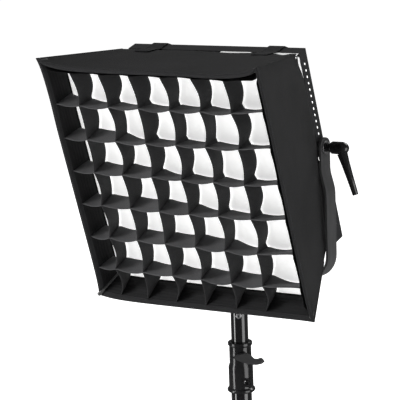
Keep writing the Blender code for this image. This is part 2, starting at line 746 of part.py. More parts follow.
STEM_START = YOKE_ARM_TOP_X + 0.0023
STEM_END = 0.1615
STUD_END = 0.1800
HUB_END = 0.1880
ARM_X = 0.1755                 # where the handle's arm would cross the tilt axis


def arm_fittings(side, name, turning):
    matrix = side_matrix(side)
    spacer = tube(0.0100, HOLE_RADIUS, PANEL / 2 + GAP, YOKE_ARM_TOP_X - YOKE_THICK - GAP)
    add_object(f"arm_spacer_{name}", turned(spacer, 28, matrix), "nylon", turning)
    washer = tube(0.0090, HOLE_RADIUS, YOKE_ARM_TOP_X + GAP, STEM_START - GAP)
    add_object(f"arm_washer_{name}", turned(washer, 32, matrix), "steel", turning)
    start = 0.1320
    stud = [(0.0, start), (STUD_RADIUS, start), (STUD_RADIUS, STEM_START), (0.0065, STEM_START),
            (0.0065, STEM_END - GAP), (0.0045, STEM_END - GAP), (0.0045, STUD_END), (0.0, STUD_END)]
    add_object(f"clamp_stud_{name}", turned(stud, 24, matrix), "metal_black", turning)
    lever_handle(side, name, matrix, turning)


def lever_handle(side, name, matrix, turning):
    """Handle whose hub is a cup over the stud's splines, with an arm hanging from it."""
    dome = [(0.0088 * math.cos(math.radians(a)), HUB_END - 0.0105 + 0.0105 * math.sin(math.radians(a)))
            for a in range(0, 90, 15)]
    cavity = STUD_END + 0.0010
    hub = turned([(0.0049, STEM_END), (0.0074, STEM_END), (0.0086, STEM_END + 0.0016)] + dome
                 + [(0.0, HUB_END), (0.0, cavity), (0.0049, cavity)], 24, matrix)
    handle = add_object(f"lever_handle_{name}", hub, "metal_black", turning)
    along = Vector((side * math.sin(LEVER_LEAN), 0.0, -math.cos(LEVER_LEAN)))
    outward = Vector((side * math.cos(LEVER_LEAN), 0.0, math.sin(LEVER_LEAN)))
    bm = bmesh.new()
    centre = Vector((side * ARM_X, 0.0, PIVOT_HEIGHT))
    stations = ((0.0075, 0.0064, 0.0076), (0.0200, 0.0052, 0.0064), (0.0420, 0.0048, 0.0050),
                (LEVER_LENGTH - 0.001, 0.0040, 0.0042), (LEVER_LENGTH, 0.0034, 0.0036))
    rings = []
    for reach, half_width, half_thick in stations:
        middle = centre + along * reach
        ring = []
        for step in range(12):
            angle = math.tau * step / 12
            across = Vector((0, 1, 0)) * half_width * math.cos(angle)
            ring.append(bm.verts.new(middle + across + outward * half_thick * math.sin(angle)))
        rings.append(ring)
    for ring, following in zip(rings, rings[1:]):
        for i in range(12):
            j = (i + 1) % 12
            bm.faces.new((ring[i], ring[j], following[j], following[i]))
    bm.faces.new(rings[0])
    bm.faces.new(rings[-1])
    boolean(handle, add_object(f"cut_handle_arm_{name}", bm, None, turning), "UNION")


# ---- top of the stand ---------------------------------------------------------
def receiver(turning):
    at_pivot = Matrix.Translation((0, 0, PIVOT_HEIGHT))
    top = YOKE_BASE - GAP
    bore_top = -0.2000
    bore = SPIGOT_RADIUS + GAP
    profile = [(HOLE_RADIUS, top), (HOLE_RADIUS, bore_top), (bore, bore_top), (bore, RECEIVER_BOTTOM),
               (RECEIVER_RADIUS, RECEIVER_BOTTOM), (RECEIVER_RADIUS, top)]
    body = add_object("stand_receiver", turned(profile, 32, at_pivot), "metal_black", turning)
    drop = PIVOT_HEIGHT - 0.2180
    screw_hole = prism(arc((0, 0), 0.0040, 0, 330, 11), 0.0060, 0.0250,
                       frame_matrix((-1, 0, 0), (0, 0, 1), (0, 1, 0), (0, 0, drop)))
    boolean(body, add_object("cut_screw_hole", screw_hole, None, turning))
    bolt = turned([(0.0, -0.1985), (0.0040, -0.1985), (0.0040, YOKE_BASE + YOKE_THICK + GAP),
                   (0.0070, YOKE_BASE + YOKE_THICK + GAP), (0.0070, -0.1775), (0.0, -0.1775)], 24, at_pivot)
    add_object("receiver_bolt", bolt, "steel", turning)
    screw_matrix = frame_matrix((-1, 0, 0), (0, 0, 1), (0, 1, 0), (0, 0, drop))
    shank = [(0.0, SPIGOT_RADIUS + 2 * GAP), (0.0036, SPIGOT_RADIUS + 2 * GAP), (0.0036, 0.0190),
             (0.0060, 0.0200), (0.0060, 0.0300), (0.0, 0.0300)]
    screw = add_object("receiver_t_screw", turned(shank, 20, screw_matrix), "metal_black", turning)
    handle = prism(arc((0.0250, 0.0), 0.0040, 0, 330, 11), -0.0190, 0.0190,
                   frame_matrix((0, 1, 0), (0, 0, 1), (1, 0, 0), (0, 0, drop)))
    boolean(screw, add_object("cut_t_bar", handle, None, turning), "UNION")


def radial_matrix(angle, height):
    """Z runs outwards from the stand's axis at an angle from the front towards +X."""
    outward = Vector((math.sin(angle), -math.cos(angle), 0))
    across = Vector((math.cos(angle), math.sin(angle), 0))
    return frame_matrix(across, (0, 0, 1), outward, (0, 0, PIVOT_HEIGHT + height))


def riser(sliding):
    at_pivot = Matrix.Translation((0, 0, PIVOT_HEIGHT))
    flange_top = RECEIVER_BOTTOM - GAP
    flange = flange_top - 0.0024
    shank = RISER_BORE - GAP
    profile = [(0.0, -0.2680), (shank, -0.2680), (shank, flange), (RISER_RADIUS, flange),
               (RISER_RADIUS, flange_top), (SPIGOT_RADIUS, flange_top), (SPIGOT_RADIUS, -0.2022),
               (SPIGOT_RADIUS - 0.0010, -0.2012), (0.0, -0.2012)]
    spigot = add_object("spigot", turned(profile, 32, at_pivot), "steel", sliding)
    tube_profile = tube(RISER_RADIUS, RISER_BORE, RISER_BOTTOM - PIVOT_HEIGHT, flange - GAP)
    riser_tube = add_object("riser_tube", turned(tube_profile, 36, at_pivot), "tube_black", sliding)
    matrix = radial_matrix(RIVET_ANGLE, RIVET_DROP)
    hole = add_object("cut_rivet_hole", turned(disc(0.0029, 0.0060, 0.0200), 16, matrix), None, sliding)
    boolean(riser_tube, hole)
    boolean(spigot, hole)
    rivet = turned([(0.0014, 0.0075), (0.0026, 0.0075), (0.0026, RISER_RADIUS + GAP),
                    (0.0041, RISER_RADIUS + GAP), (0.0041, RISER_RADIUS + 0.0010),
                    (0.0034, RISER_RADIUS + 0.0015), (0.0019, RISER_RADIUS + 0.0015),
                    (0.0014, RISER_RADIUS + 0.0010)], 20, matrix)
    add_object("riser_rivet", rivet, "steel", sliding)


def stand_collar():
    at_pivot = Matrix.Translation((0, 0, PIVOT_HEIGHT))
    upper_bore = RISER_RADIUS + GAP
    lower_bore = TUBE_RADIUS + GAP
    profile = [(upper_bore, TUBE_TOP + GAP), (lower_bore, TUBE_TOP + GAP), (lower_bore, COLLAR_BOTTOM),
               (0.0186, COLLAR_BOTTOM), (0.0204, COLLAR_BOTTOM + 0.0020), (0.0204, COLLAR_BOTTOM + 0.0045),
               (0.0179, COLLAR_BOTTOM + 0.0070), (0.0179, -0.3290), (0.0161, -0.3240), (0.0161, -0.2985),
               (0.0178, -0.2965), (0.0178, COLLAR_TOP - 0.0010), (0.0170, COLLAR_TOP),
                (upper_bore, COLLAR_TOP)]
    collar = add_object("stand_collar", turned(profile, 36, at_pivot), "plastic_black")
    lever_boss = turned(disc(0.0068, 0.0140, 0.0178), 20, radial_matrix(CLAMP_ANGLE, CLAMP_DROP))
    boolean(collar, add_object("cut_lever_boss", lever_boss, None), "UNION")
    lug_matrix = radial_matrix(SCREW_ANGLE, SCREW_DROP) @ Matrix.Translation((SCREW_OFFSET, 0, 0))
    lug = turned(disc(0.0062, 0.0130, 0.0200), 20, lug_matrix)
    boolean(collar, add_object("cut_screw_lug", lug, None), "UNION")
    bore = turned(disc(lower_bore, COLLAR_BOTTOM - 0.01, TUBE_TOP + GAP), 36, at_pivot)
    boolean(collar, add_object("cut_collar_bore", bore, None))
    lever_hole = turned(disc(0.0034, 0.0120, 0.0300), 16, radial_matrix(CLAMP_ANGLE, CLAMP_DROP))
    boolean(collar, add_object("cut_lever_hole", lever_hole, None))
    screw_hole = turned(disc(0.0048, 0.0170, 0.0300), 20, lug_matrix)
    boolean(collar, add_object("cut_collar_screw", screw_hole, None))
    screw = turned([(0.0, 0.0173), (0.0045, 0.0173), (0.0045, 0.0206), (0.0036, 0.0214), (0.0020, 0.0214),
                    (0.0020, 0.0190), (0.0, 0.0190)], 18, lug_matrix)
    add_object("collar_screw", screw, "metal_black")


def wing_lever():
    """Clamp lever: a round hub on a threaded stub, with a drooping wing."""
    matrix = radial_matrix(CLAMP_ANGLE, CLAMP_DROP)
    hub = turned([(0.0, 0.0132), (0.0030, 0.0132), (0.0030, 0.0181), (0.0066, 0.0181), (0.0066, 0.0233),
                  (0.0056, 0.0240), (0.0, 0.0240)], 20, matrix)
    lever = add_object("collar_wing_lever", hub, "plastic_black")
    upper = [(-0.0160, 0.0018), (-0.0080, 0.0054), (0.0, 0.0070), (0.0063, 0.0064), (0.0125, 0.0018),
             (0.0165, -0.0028), (0.0214, -0.0034), (0.0263, -0.0022), (0.0290, -0.0040)]
    lower = [(0.0304, -0.0071), (0.0268, -0.0098), (0.0188, -0.0112), (0.0116, -0.0103), (0.0045, -0.0080),
             (-0.0036, -0.0052), (-0.0098, -0.0022)]
    wing = add_object("cut_wing", prism(upper + lower, 0.0185, 0.0245, matrix), None)
    boolean(lever, wing, "UNION")


def lower_tube():
    profile = tube(TUBE_RADIUS, TUBE_BORE, 0.0, PIVOT_HEIGHT + TUBE_TOP)
    add_object("lower_tube", turned(profile, 36), "tube_black")


def empty(name, location, parent=None):
    obj = bpy.data.objects.new(name, None)
    bpy.context.scene.collection.objects.link(obj)
    obj.location = location
    obj.parent = parent
    return obj


def build():
    clear_scene()
    lower_tube()
    stand_collar()
    wing_lever()
    sliding = empty("riser_slide_axis", (0, 0, 0))
    turning = empty("pan_axis", (0, 0, 0), sliding)
    head = empty("tilt_axis", (0, 0, PIVOT_HEIGHT), turning)
    head.rotation_euler = (TILT, 0, 0)
    riser(sliding)
    receiver(turning)
    yoke(turning)
    for side, name in ((-1, "left"), (1, "right")):
        arm_fittings(side, name, turning)
    panel_frame(head)
    panel_optics(head)
    rear_shell(head)
    control_box(head)
    control_pieces(head)
    softbox_side("side_panel_left", -1, head)
    softbox_side("side_panel_right", 1, head)
    softbox_flat("side_panel_top", 1, head)
    softbox_flat("side_panel_bottom", -1, head)
    corner_rods(head)
    rear_skirt(head)
    front_hem(head)
    tape_front = DIFFUSER_FRONT - DIFFUSER_THICK - GAP
    lining_ring("diffuser_tape", tape_front - TAPE_WIDTH, tape_front, "webbing_black", head)
    diffuser(head)
    lining_ring("grid_border", GRID_REAR, GRID_FRONT, "webbing_black", head)
    for index in range(GRID_STRIPS):
        upright_strip(index, head)
        level_strip(index, head)
    straps(head)


build()
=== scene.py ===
"""Looks of a grid softbox on its LED panel, in a yoke on the top of a light stand.

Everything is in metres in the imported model's frame. Pieces on the head are worked
out in head coordinates, (across, forward, up) from the tilt axis, and then turned
to where the head stands at rest.
"""

import json
import math
import random

import bmesh
import bpy
from mathutils import Matrix, Vector, noise


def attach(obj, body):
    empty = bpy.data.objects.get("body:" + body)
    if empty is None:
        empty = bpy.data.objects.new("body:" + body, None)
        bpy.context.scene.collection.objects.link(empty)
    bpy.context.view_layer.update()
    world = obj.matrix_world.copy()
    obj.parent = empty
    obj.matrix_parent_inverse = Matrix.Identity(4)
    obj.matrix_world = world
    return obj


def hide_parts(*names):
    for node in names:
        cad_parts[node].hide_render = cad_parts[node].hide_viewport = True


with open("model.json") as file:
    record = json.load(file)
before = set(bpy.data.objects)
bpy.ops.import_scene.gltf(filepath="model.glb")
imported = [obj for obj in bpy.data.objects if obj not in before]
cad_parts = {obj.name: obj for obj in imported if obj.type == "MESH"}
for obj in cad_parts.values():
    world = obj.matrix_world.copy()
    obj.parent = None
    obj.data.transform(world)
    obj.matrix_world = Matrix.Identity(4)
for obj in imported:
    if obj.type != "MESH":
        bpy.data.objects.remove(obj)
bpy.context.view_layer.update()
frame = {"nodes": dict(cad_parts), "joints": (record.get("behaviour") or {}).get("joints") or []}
NODES = frame["nodes"]

# ---- where the head is ------------------------------------------------------
TILT = math.radians(17.7)
PIVOT = Vector(next(j["pos_m"] for j in frame["joints"] if j["name"] == "head_tilt"))
HEAD = Matrix.Translation(PIVOT) @ Matrix.Rotation(TILT, 4, "X")


def extent(node):
    """Lowest and highest (across, forward, up) of a CAD node on the head."""
    to_head = HEAD.inverted()
    points = [to_head @ v.co for v in NODES[node].data.vertices]
    points = [(p.x, -p.y, p.z) for p in points]
    return [Vector(map(pick, zip(*points))) for pick in (min, max)]


def in_head(across, forward, up):
    return HEAD @ Vector((across, -forward, up))


def lerp(a, b, t):
    return a + (b - a) * t


def ease(t):
    t = min(max(t, 0.0), 1.0)
    return t * t * (3 - 2 * t)


# ---- the softbox's driving sizes -----------------------------------------------
DIFFUSER_FRONT = extent("diffuser")[1].y
TAPE_LOW, TAPE_HIGH = extent("diffuser_tape")
GRID_LOW, GRID_HIGH = extent("grid_strip_upright_1")
RIM_LOW, RIM_HIGH = extent("panel_frame")
BEZEL_LOW, BEZEL_HIGH = extent("front_bezel")

MOUTH = extent("side_panel_right")[1].y   # forward position of the mouth
REAR_HALF = 0.1455                    # half width and heights of the sleeve at its rear edge
REAR_TOP = 0.1445
REAR_BOTTOM = -0.1405
TOP_REAR_EDGE = 0.0150                # forward positions where the cloth starts
BOTTOM_REAR_EDGE = extent("side_panel_bottom")[0].y
SIDE_REAR_EDGE = 0.0100               # the sides' slanted edge, at its mean
CLOTH = 0.0009                        # thickness of the laminated cloth
SHELL_DIP = 0.0012                    # how far each side dips in its middle
GRID_CLOTH = 0.0007
GRID_COUNT = 6                        # strips each way
CELLS = GRID_COUNT + 1
GRID_DEPTH = GRID_HIGH.y - GRID_LOW.y

# the four pointed tips of the mouth, (across, up)
TIPS = {
    ("left", "top"): (-0.1820, 0.1890),
    ("right", "top"): (0.1778, 0.1865),
    ("left", "bottom"): (-0.1820, -0.1838),
    ("right", "bottom"): (0.1846, -0.1825),
}


# ---- materials ----------------------------------------------------------------
class Finish:
    """One material and the few node steps that the finishes share."""

    def __init__(self, name, colour, roughness, metallic=0.0, **sockets):
        self.material = bpy.data.materials.new(name)
        self.material.use_nodes = True
        self.tree = self.material.node_tree
        self.shader = self.tree.nodes["Principled BSDF"]
        self.colour = colour
        self.set(self.shader, "Base Color", (*colour, 1.0))
        self.set(self.shader, "Roughness", roughness)
        self.set(self.shader, "Metallic", metallic)
        for socket, value in sockets.items():
            self.set(self.shader, socket.replace("_", " "), value)
        self.height = None
        self.material.diffuse_color = (*colour, 1.0)

    def set(self, node, socket, value):
        if isinstance(value, bpy.types.NodeSocket):
            self.tree.links.new(value, node.inputs[socket])
        else:
            node.inputs[socket].default_value = value

    def node(self, kind, inputs=(), **properties):
        made = self.tree.nodes.new("ShaderNode" + kind)
        for key, value in properties.items():
            setattr(made, key, value)
        for socket, value in dict(inputs).items():
            self.set(made, socket, value)
        return made

    def math(self, operation, a, b=0.0):
        return self.node("Math", {0: a, 1: b}, operation=operation).outputs[0]

    def place(self, scale=(1, 1, 1), cloth=False):
        """Coordinates in metres, times scale: along the cloth, or in the piece's own space."""
        source = self.node("TexCoord").outputs["UV" if cloth else "Object"]
        return self.node("Mapping", {"Vector": source, "Scale": scale}).outputs[0]

    def noise(self, scale, detail=3.0, stretch=(1, 1, 1), cloth=False, distortion=0.0):
        """Noise with about scale features a metre."""
        where = self.place(stretch, cloth)
        made = self.node("TexNoise", {"Vector": where, "Scale": scale, "Detail": detail,
                                      "Distortion": distortion})
        return made.outputs["Fac"]

    def spread(self, value, low, high, start=0.3, end=0.7):
        """Map a noise value onto a range of numbers."""
        made = self.node("MapRange", {"Value": value, "From Min": start, "From Max": end,
                                      "To Min": low, "To Max": high})
        return made.outputs[0]

    def tint(self, value, dark, light):
        """Colour between dark and light shares of the base colour."""
        a = tuple(min(c * dark, 1.0) for c in self.colour)
        b = tuple(min(c * light, 1.0) for c in self.colour)
        mix = self.node("Mix", data_type="RGBA")
        colours = [s for s in mix.inputs if s.type == "RGBA"]
        factors = [s for s in mix.inputs if s.type == "VALUE" and s.enabled]
        colours[0].default_value = (*a, 1.0)
        colours[1].default_value = (*b, 1.0)
        self.tree.links.new(value, factors[0])
        result = [s for s in mix.outputs if s.type == "RGBA"][0]
        self.set(self.shader, "Base Color", result)
        return result

    def vary_roughness(self, value, low, high):
        self.set(self.shader, "Roughness", self.spread(value, low, high))

    def glow(self, colour, strength):
        self.set(self.shader, "Emission Color", colour)
        self.set(self.shader, "Emission Strength", strength)

    def bump(self, value, depth, strength=1.0):
        """Add a height, in metres, on top of the ones before it."""
        inputs = {"Height": value, "Distance": depth, "Strength": strength}
        made = self.node("Bump", inputs)
        if self.height is not None:
            self.set(made, "Normal", self.height)
        self.height = made.outputs[0]
        self.set(self.shader, "Normal", self.height)

    def weave(self, pitch):
        """Height of a plain weave along the cloth: threads go over and under."""
        turns = math.pi / pitch
        split = self.node("SeparateXYZ", {0: self.place((turns, turns, 1), cloth=True)})
        across = self.math("SINE", split.outputs[0])
        along = self.math("SINE", split.outputs[1])
        return self.math("MULTIPLY", across, along)

    def ribs(self, pitch, axis=0):
        """Height of ribs along the cloth, across its first or second direction."""
        turns = math.tau / pitch
        split = self.node("SeparateXYZ", {0: self.place((turns, turns, 1), cloth=True)})
        return self.math("SINE", split.outputs[axis])


def woven(name, colour, pitch, roughness=0.85, sheen=0.01, depth=0.00012, mottling=0.25):
    """Woven synthetic cloth with a slightly uneven dye and faint creases."""
    finish = Finish(name, colour, roughness, Sheen_Weight=sheen, Sheen_Roughness=0.5,
                    Specular_IOR_Level=0.15)
    patches = finish.noise(14.0, 4.0, cloth=True)
    fibres = finish.noise(900.0, 2.0, cloth=True)
    threads = finish.weave(pitch)
    dye, fuzz = finish.math("MULTIPLY", patches, 0.6), finish.math("MULTIPLY", fibres, 0.4)
    mixed = finish.math("ADD", dye, fuzz)
    # the weave term makes the raised threads lighter and the hollows between them darker,
    # following the bump below: painted shade; the patches and fibres are uneven dye
    shade = finish.math("ADD", mixed, finish.math("MULTIPLY", threads, 0.08))
    finish.tint(finish.spread(shade, 0.0, 1.0), 1.0 - mottling, 1.0 + mottling)
    finish.vary_roughness(fibres, roughness - 0.08, roughness + 0.08)
    finish.bump(finish.noise(45.0, 3.0, cloth=True), 0.0012, 0.5)
    finish.bump(threads, depth)
    return finish.material


def silver_lining(name, glow=0.0):
    """Silvered cloth; glow is the strength of a painted glow that stands in for the panel's light
    coming through it.
    """
    finish = Finish(name, (0.80, 0.80, 0.80), 0.42, 0.35)
    creases = finish.noise(60.0, 4.0, cloth=True, distortion=0.6)
    # the colour darkens where the crease bump below is low: painted shade in the crease hollows
    shade = finish.tint(finish.spread(creases, 0.0, 1.0), 0.85, 1.0)
    if glow:
        finish.glow(shade, glow)
    finish.bump(creases, 0.0008, 0.6)
    finish.bump(finish.weave(0.0008), 0.00008)
    return finish.material


def webbing(name, colour, rib=0.0016):
    """Ribbed woven tape."""
    finish = Finish(name, colour, 0.75, Sheen_Weight=0.01, Sheen_Roughness=0.4,
                    Specular_IOR_Level=0.2)
    rows = finish.ribs(rib, 1)
    yarn = finish.weave(0.0008)
    fuzz = finish.noise(1200.0, 2.0, cloth=True)
    # the ribs make the colour lighter on their crests and darker in their hollows, following the
    # bump below: painted shade; the fuzz is uneven yarn
    shade = finish.math("ADD", finish.math("MULTIPLY", rows, 0.15), fuzz)
    finish.tint(finish.spread(shade, 0.0, 1.0, 0.2, 0.8), 0.7, 1.4)
    finish.bump(rows, 0.00015)
    finish.bump(yarn, 0.00006)
    return finish.material


def diffusion_cloth():
    """White cloth that the panel behind it lights evenly."""
    finish = Finish("diffusion_cloth", (0.86, 0.86, 0.855), 0.8, Sheen_Weight=0.1)
    clouds = finish.noise(9.0, 3.0, cloth=True)
    streaks = finish.noise(60.0, 3.0, (6.0, 0.7, 1.0), cloth=True)
    halves = [finish.math("MULTIPLY", part, 0.5) for part in (clouds, streaks)]
    shade = finish.math("ADD", *halves)
    finish.glow(finish.tint(finish.spread(shade, 0.0, 1.0), 0.93, 1.03), 0.70)
    finish.bump(finish.noise(30.0, 3.0, cloth=True), 0.002, 0.4)
    finish.bump(finish.weave(0.0010), 0.0001)
    return finish.material


def powder_coat(name, colour, roughness=0.42, grain=2200.0, streaks=None):
    """Textured paint on metal, with a faint orange peel and handling marks."""
    finish = Finish(name, colour, roughness, Specular_IOR_Level=0.5)
    handling = finish.noise(35.0, 4.0)
    if streaks:
        handling = finish.noise(28.0, 4.0, streaks)
    finish.tint(finish.spread(handling, 0.0, 1.0), 0.8, 1.25)
    finish.vary_roughness(handling, roughness + 0.06, roughness - 0.06)
    finish.bump(finish.noise(grain, 2.0), 0.00010, 0.7)
    return finish.material


def moulded_plastic(name, colour, roughness=0.38, grain=1600.0):
    finish = Finish(name, colour, roughness)
    wear = finish.noise(50.0, 4.0)
    finish.tint(finish.spread(wear, 0.0, 1.0), 0.85, 1.2)
    finish.vary_roughness(wear, roughness - 0.07, roughness + 0.07)
    finish.bump(finish.noise(grain, 2.0), 0.00006, 0.6)
    return finish.material


def gloss_paint(name, colour, roughness=0.13):
    finish = Finish(name, colour, roughness, Coat_Weight=0.5, Coat_Roughness=0.05)
    wipes = finish.noise(20.0, 4.0, (1.0, 1.0, 0.25))
    finish.tint(finish.spread(wipes, 0.0, 1.0), 0.85, 1.15)
    finish.vary_roughness(wipes, roughness - 0.03, roughness + 0.07)
    finish.bump(finish.noise(260.0, 2.0), 0.00005, 0.4)
    return finish.material


def plated_steel(name, smoothest=0.16, roughest=0.34):
    finish = Finish(name, (0.66, 0.66, 0.67), 0.22, 1.0)
    marks = finish.noise(160.0, 4.0)
    finish.tint(finish.spread(marks, 0.0, 1.0), 0.82, 1.1)
    finish.vary_roughness(marks, smoothest, roughest)
    finish.bump(finish.noise(900.0, 2.0), 0.00003, 0.5)
    return finish.material


def lit_acrylic():
    """Opal light guide of the panel, bright at its edges."""
    finish = Finish("lit_acrylic", (0.9, 0.9, 0.89), 0.3)
    clouds = finish.noise(25.0, 3.0)
    finish.glow(finish.tint(finish.spread(clouds, 0.0, 1.0), 0.93, 1.05), 1.2)
    finish.bump(finish.noise(500.0, 2.0), 0.00004, 0.4)
    return finish.material


def circuit(name, colour):
    finish = Finish(name, colour, 0.45)
    tracks = finish.noise(300.0, 2.0)
    finish.tint(finish.spread(tracks, 0.0, 1.0, 0.45, 0.55), 0.85, 1.15)
    finish.bump(tracks, 0.00005)
    return finish.material


def dark_glass():
    finish = Finish("dark_glass", (0.008, 0.009, 0.012), 0.06, Coat_Weight=1.0)
    smears = finish.noise(60.0, 3.0)
    finish.tint(finish.spread(smears, 0.0, 1.0), 0.8, 1.3)
    finish.vary_roughness(smears, 0.04, 0.16)
    return finish.material


def pale_floor():
    finish = Finish("pale_floor", (0.93, 0.93, 0.93), 0.9)
    finish.tint(finish.spread(finish.noise(3.0), 0.0, 1.0), 0.995, 1.0)
    finish.glow((1.0, 1.0, 1.0, 1.0), 0.92)
    return finish.material


FABRIC = woven("black_oxford", (0.0158, 0.0158, 0.0163), 0.0009)
# the inner faces get a copy of the black oxford about three times darker than its outer face:
# painted shade inside the softbox
SHADED_FABRIC_INSIDE = woven("black_oxford_inside_painted_shade", (0.0045, 0.0045, 0.0047), 0.0009, 0.9)
GRID_FABRIC = woven("grid_cloth", (0.028, 0.028, 0.029), 0.0007, 0.8, mottling=0.35)
# the level strips get a lighter copy of the grid cloth: painted light on their upward faces, which
# catch the light from above
LIT_LEVEL_FABRIC = woven("grid_cloth_level_painted_light", (0.060, 0.060, 0.062), 0.0007, 0.8, mottling=0.35)
LINING = silver_lining("silver_lining")
# glows: painted light for the panel's light leaking past its rim
LIT_LINING = silver_lining("silver_lining_lit", 0.45)
TAPE = webbing("binding_tape", (0.017, 0.017, 0.018))
HOOK_TAPE = webbing("hook_tape", (0.006, 0.006, 0.0065), 0.0022)
STRAP = webbing("strap_webbing", (0.012, 0.012, 0.013), 0.0020)
DIFFUSION = diffusion_cloth()
THREAD = webbing("sewing_thread", (0.032, 0.032, 0.034), 0.0010)
POWDER = powder_coat("satin_powder_coat", (0.014, 0.014, 0.015))
YOKE_PAINT = powder_coat("yoke_paint", (0.042, 0.042, 0.043), 0.45, 1500.0, (3.0, 3.0, 0.4))
GLOSS = gloss_paint("gloss_black", (0.004, 0.004, 0.0045))
PLASTIC = moulded_plastic("moulded_black", (0.022, 0.022, 0.023))
SHINY_PLASTIC = moulded_plastic("shiny_moulded_black", (0.007, 0.007, 0.0075), 0.20, 700.0)
WING_PLASTIC = moulded_plastic("wing_black", (0.012, 0.012, 0.0125), 0.45, 1100.0)
STEEL = plated_steel("plated_steel")
DULL_STEEL = plated_steel("dull_steel", 0.50, 0.65)
OPAL = lit_acrylic()
BOARD = circuit("white_board", (0.80, 0.80, 0.78))
GREEN_BOARD = circuit("green_board", (0.02, 0.12, 0.05))
GLASS = dark_glass()
ROD = moulded_plastic("fibreglass_rod", (0.05, 0.05, 0.05), 0.35)


# ---- making pieces ---------------------------------------------------------------
def finish_piece(name, bm, materials, body, replaces=(), smooth_angle=40.0):
    """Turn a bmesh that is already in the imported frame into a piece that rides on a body."""
    mesh = bpy.data.meshes.new(name)
    bm.to_mesh(mesh)
    bm.free()
    for material in materials:
        mesh.materials.append(material)
    mesh.shade_smooth()
    mesh.set_sharp_from_angle(angle=math.radians(smooth_angle))
    piece = bpy.data.objects.new(name, mesh)
    bpy.context.scene.collection.objects.link(piece)
    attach(piece, body)
    if replaces:
        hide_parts(*replaces)
    return piece


def sheet_grid(point, columns, rows, size, closed=False):
    """Quads through point(a, b) with a and b from 0 to 1, and a UV map in metres."""
    bm = bmesh.new()
    cloth = bm.loops.layers.uv.new("cloth")
    count = columns if closed else columns + 1
    grid = [[bm.verts.new(point(i / columns, j / rows)) for j in range(rows + 1)]
            for i in range(count)]
    for i in range(columns):
        for j in range(rows):
            corners = ((i, j), (i + 1, j), (i + 1, j + 1), (i, j + 1))
            face = bm.faces.new([grid[c % count][r] for c, r in corners])
            for loop, (c, r) in zip(face.loops, corners):
                loop[cloth].uv = (c / columns * size[0], r / rows * size[1])
    return bm


def thicken(piece, thickness, offset=-1.0, inside=0):
    """Give cloth its thickness; inside is the step to the inner face's material."""
    modifier = piece.modifiers.new("cloth", "SOLIDIFY")
    modifier.thickness = thickness
    modifier.offset = offset
    modifier.material_offset = inside


# ---- the shell --------------------------------------------------------------------
SIDES = ("top", "right", "bottom", "left")
OUTWARD = {"top": (0, 0, 1), "right": (1, 0, 0), "bottom": (0, 0, -1), "left": (-1, 0, 0)}
RIGHT_MIDDLE = 0.1802                 # where the mouth's edges run between its corners


def top_middle(across):
    return 0.1752 - 0.0017 * ease((across - 0.050) / 0.060)


def bottom_middle(across):
    return -0.1863 + 0.0255 * across


def left_middle(up):
    return -0.1768 - 0.0014 * ease((0.134 - up) / 0.060)


def side_rear_edge(up):
    """How far ahead of the tilt axis the side cloth starts at a height."""
    lower = 0.0320 * (max(0.05 - up, 0.0) / 0.1905) ** 1.6
    upper = 0.0075 * (max(up - 0.08, 0.0) / 0.0645) ** 2
    return 0.0085 + lower + upper


def rear_edge(name, across, up):
    if name == "top":
        return TOP_REAR_EDGE
    return BOTTOM_REAR_EDGE if name == "bottom" else side_rear_edge(up)


def corner(side, level, b):
    """(across, up) on a corner line, from the panel (b = 0) to the mouth (b = 1)."""
    rear_up = REAR_TOP if level == "top" else REAR_BOTTOM
    rear_across = REAR_HALF if side == "right" else -REAR_HALF
    across, up = TIPS[side, level]
    return lerp(rear_across, across, b), lerp(rear_up, up, b)


def taut(position, low, high, level, fades):
    """Height of an edge that is drawn up to its two corners and lies at level(position)
    between them; low and high are (position, height), fades how far each pull reaches."""
    value = level(position)
    for (end, height), fade in ((low, fades[0]), (high, fades[1])):
        value += (height - level(end)) * math.exp(-abs(position - end) / fade)
    return value


def top_up(across, b):
    fades = (lerp(0.060, 0.026, b), lerp(0.060, 0.022, b))
    return taut(across, corner("left", "top", b), corner("right", "top", b),
                lambda x: lerp(REAR_TOP, top_middle(x), b), fades)


def bottom_up(across, b):
    fades = (lerp(0.060, 0.026, b), lerp(0.030, 0.008, b))
    return taut(across, corner("left", "bottom", b), corner("right", "bottom", b),
                lambda x: lerp(REAR_BOTTOM, bottom_middle(x), b), fades)


def right_across(up, b):
    low, high = (corner("right", level, b)[::-1] for level in ("bottom", "top"))
    fades = (lerp(0.050, 0.010, b), 0.030)
    return taut(up, low, high, lambda u: lerp(REAR_HALF, RIGHT_MIDDLE, b), fades)


def left_across(up, b):
    low, high = (corner("left", level, b)[::-1] for level in ("bottom", "top"))
    fades = (lerp(0.060, 0.020, b), 0.016)
    return taut(up, low, high, lambda u: lerp(-REAR_HALF, left_middle(u), b), fades)


def clustered(t):
    """Spread 0 to 1 so that steps are shorter near both ends."""
    return t - 0.62 * math.sin(math.tau * t) / math.tau


SIDE_ENDS = {
    "top": (("left", "top"), ("right", "top")),
    "right": (("right", "top"), ("right", "bottom")),
    "bottom": (("right", "bottom"), ("left", "bottom")),
    "left": (("left", "bottom"), ("left", "top")),
}


def side_at(name, t, b):
    """(across, forward, up) on one side, with t clockwise as seen from the front."""
    start, stop = (Vector(corner(*end, b)) for end in SIDE_ENDS[name])
    across, up = start.lerp(stop, clustered(t))
    if name == "top":
        up = top_up(across, b)
    elif name == "bottom":
        up = bottom_up(across, b)
    else:
        across = right_across(up, b) if name == "right" else left_across(up, b)
    first, last = (Vector(corner(*end, 0.0)) for end in SIDE_ENDS[name])
    rear_across, rear_up = first.lerp(last, clustered(t))
    return Vector((across, lerp(rear_edge(name, rear_across, rear_up), MOUTH, b), up))


def split_turn(a):
    """The side that a share of the turn round the shell falls on, and where along it."""
    turn = (a % 1.0) * 4
    index = min(int(turn), 3)
    return index, turn - index


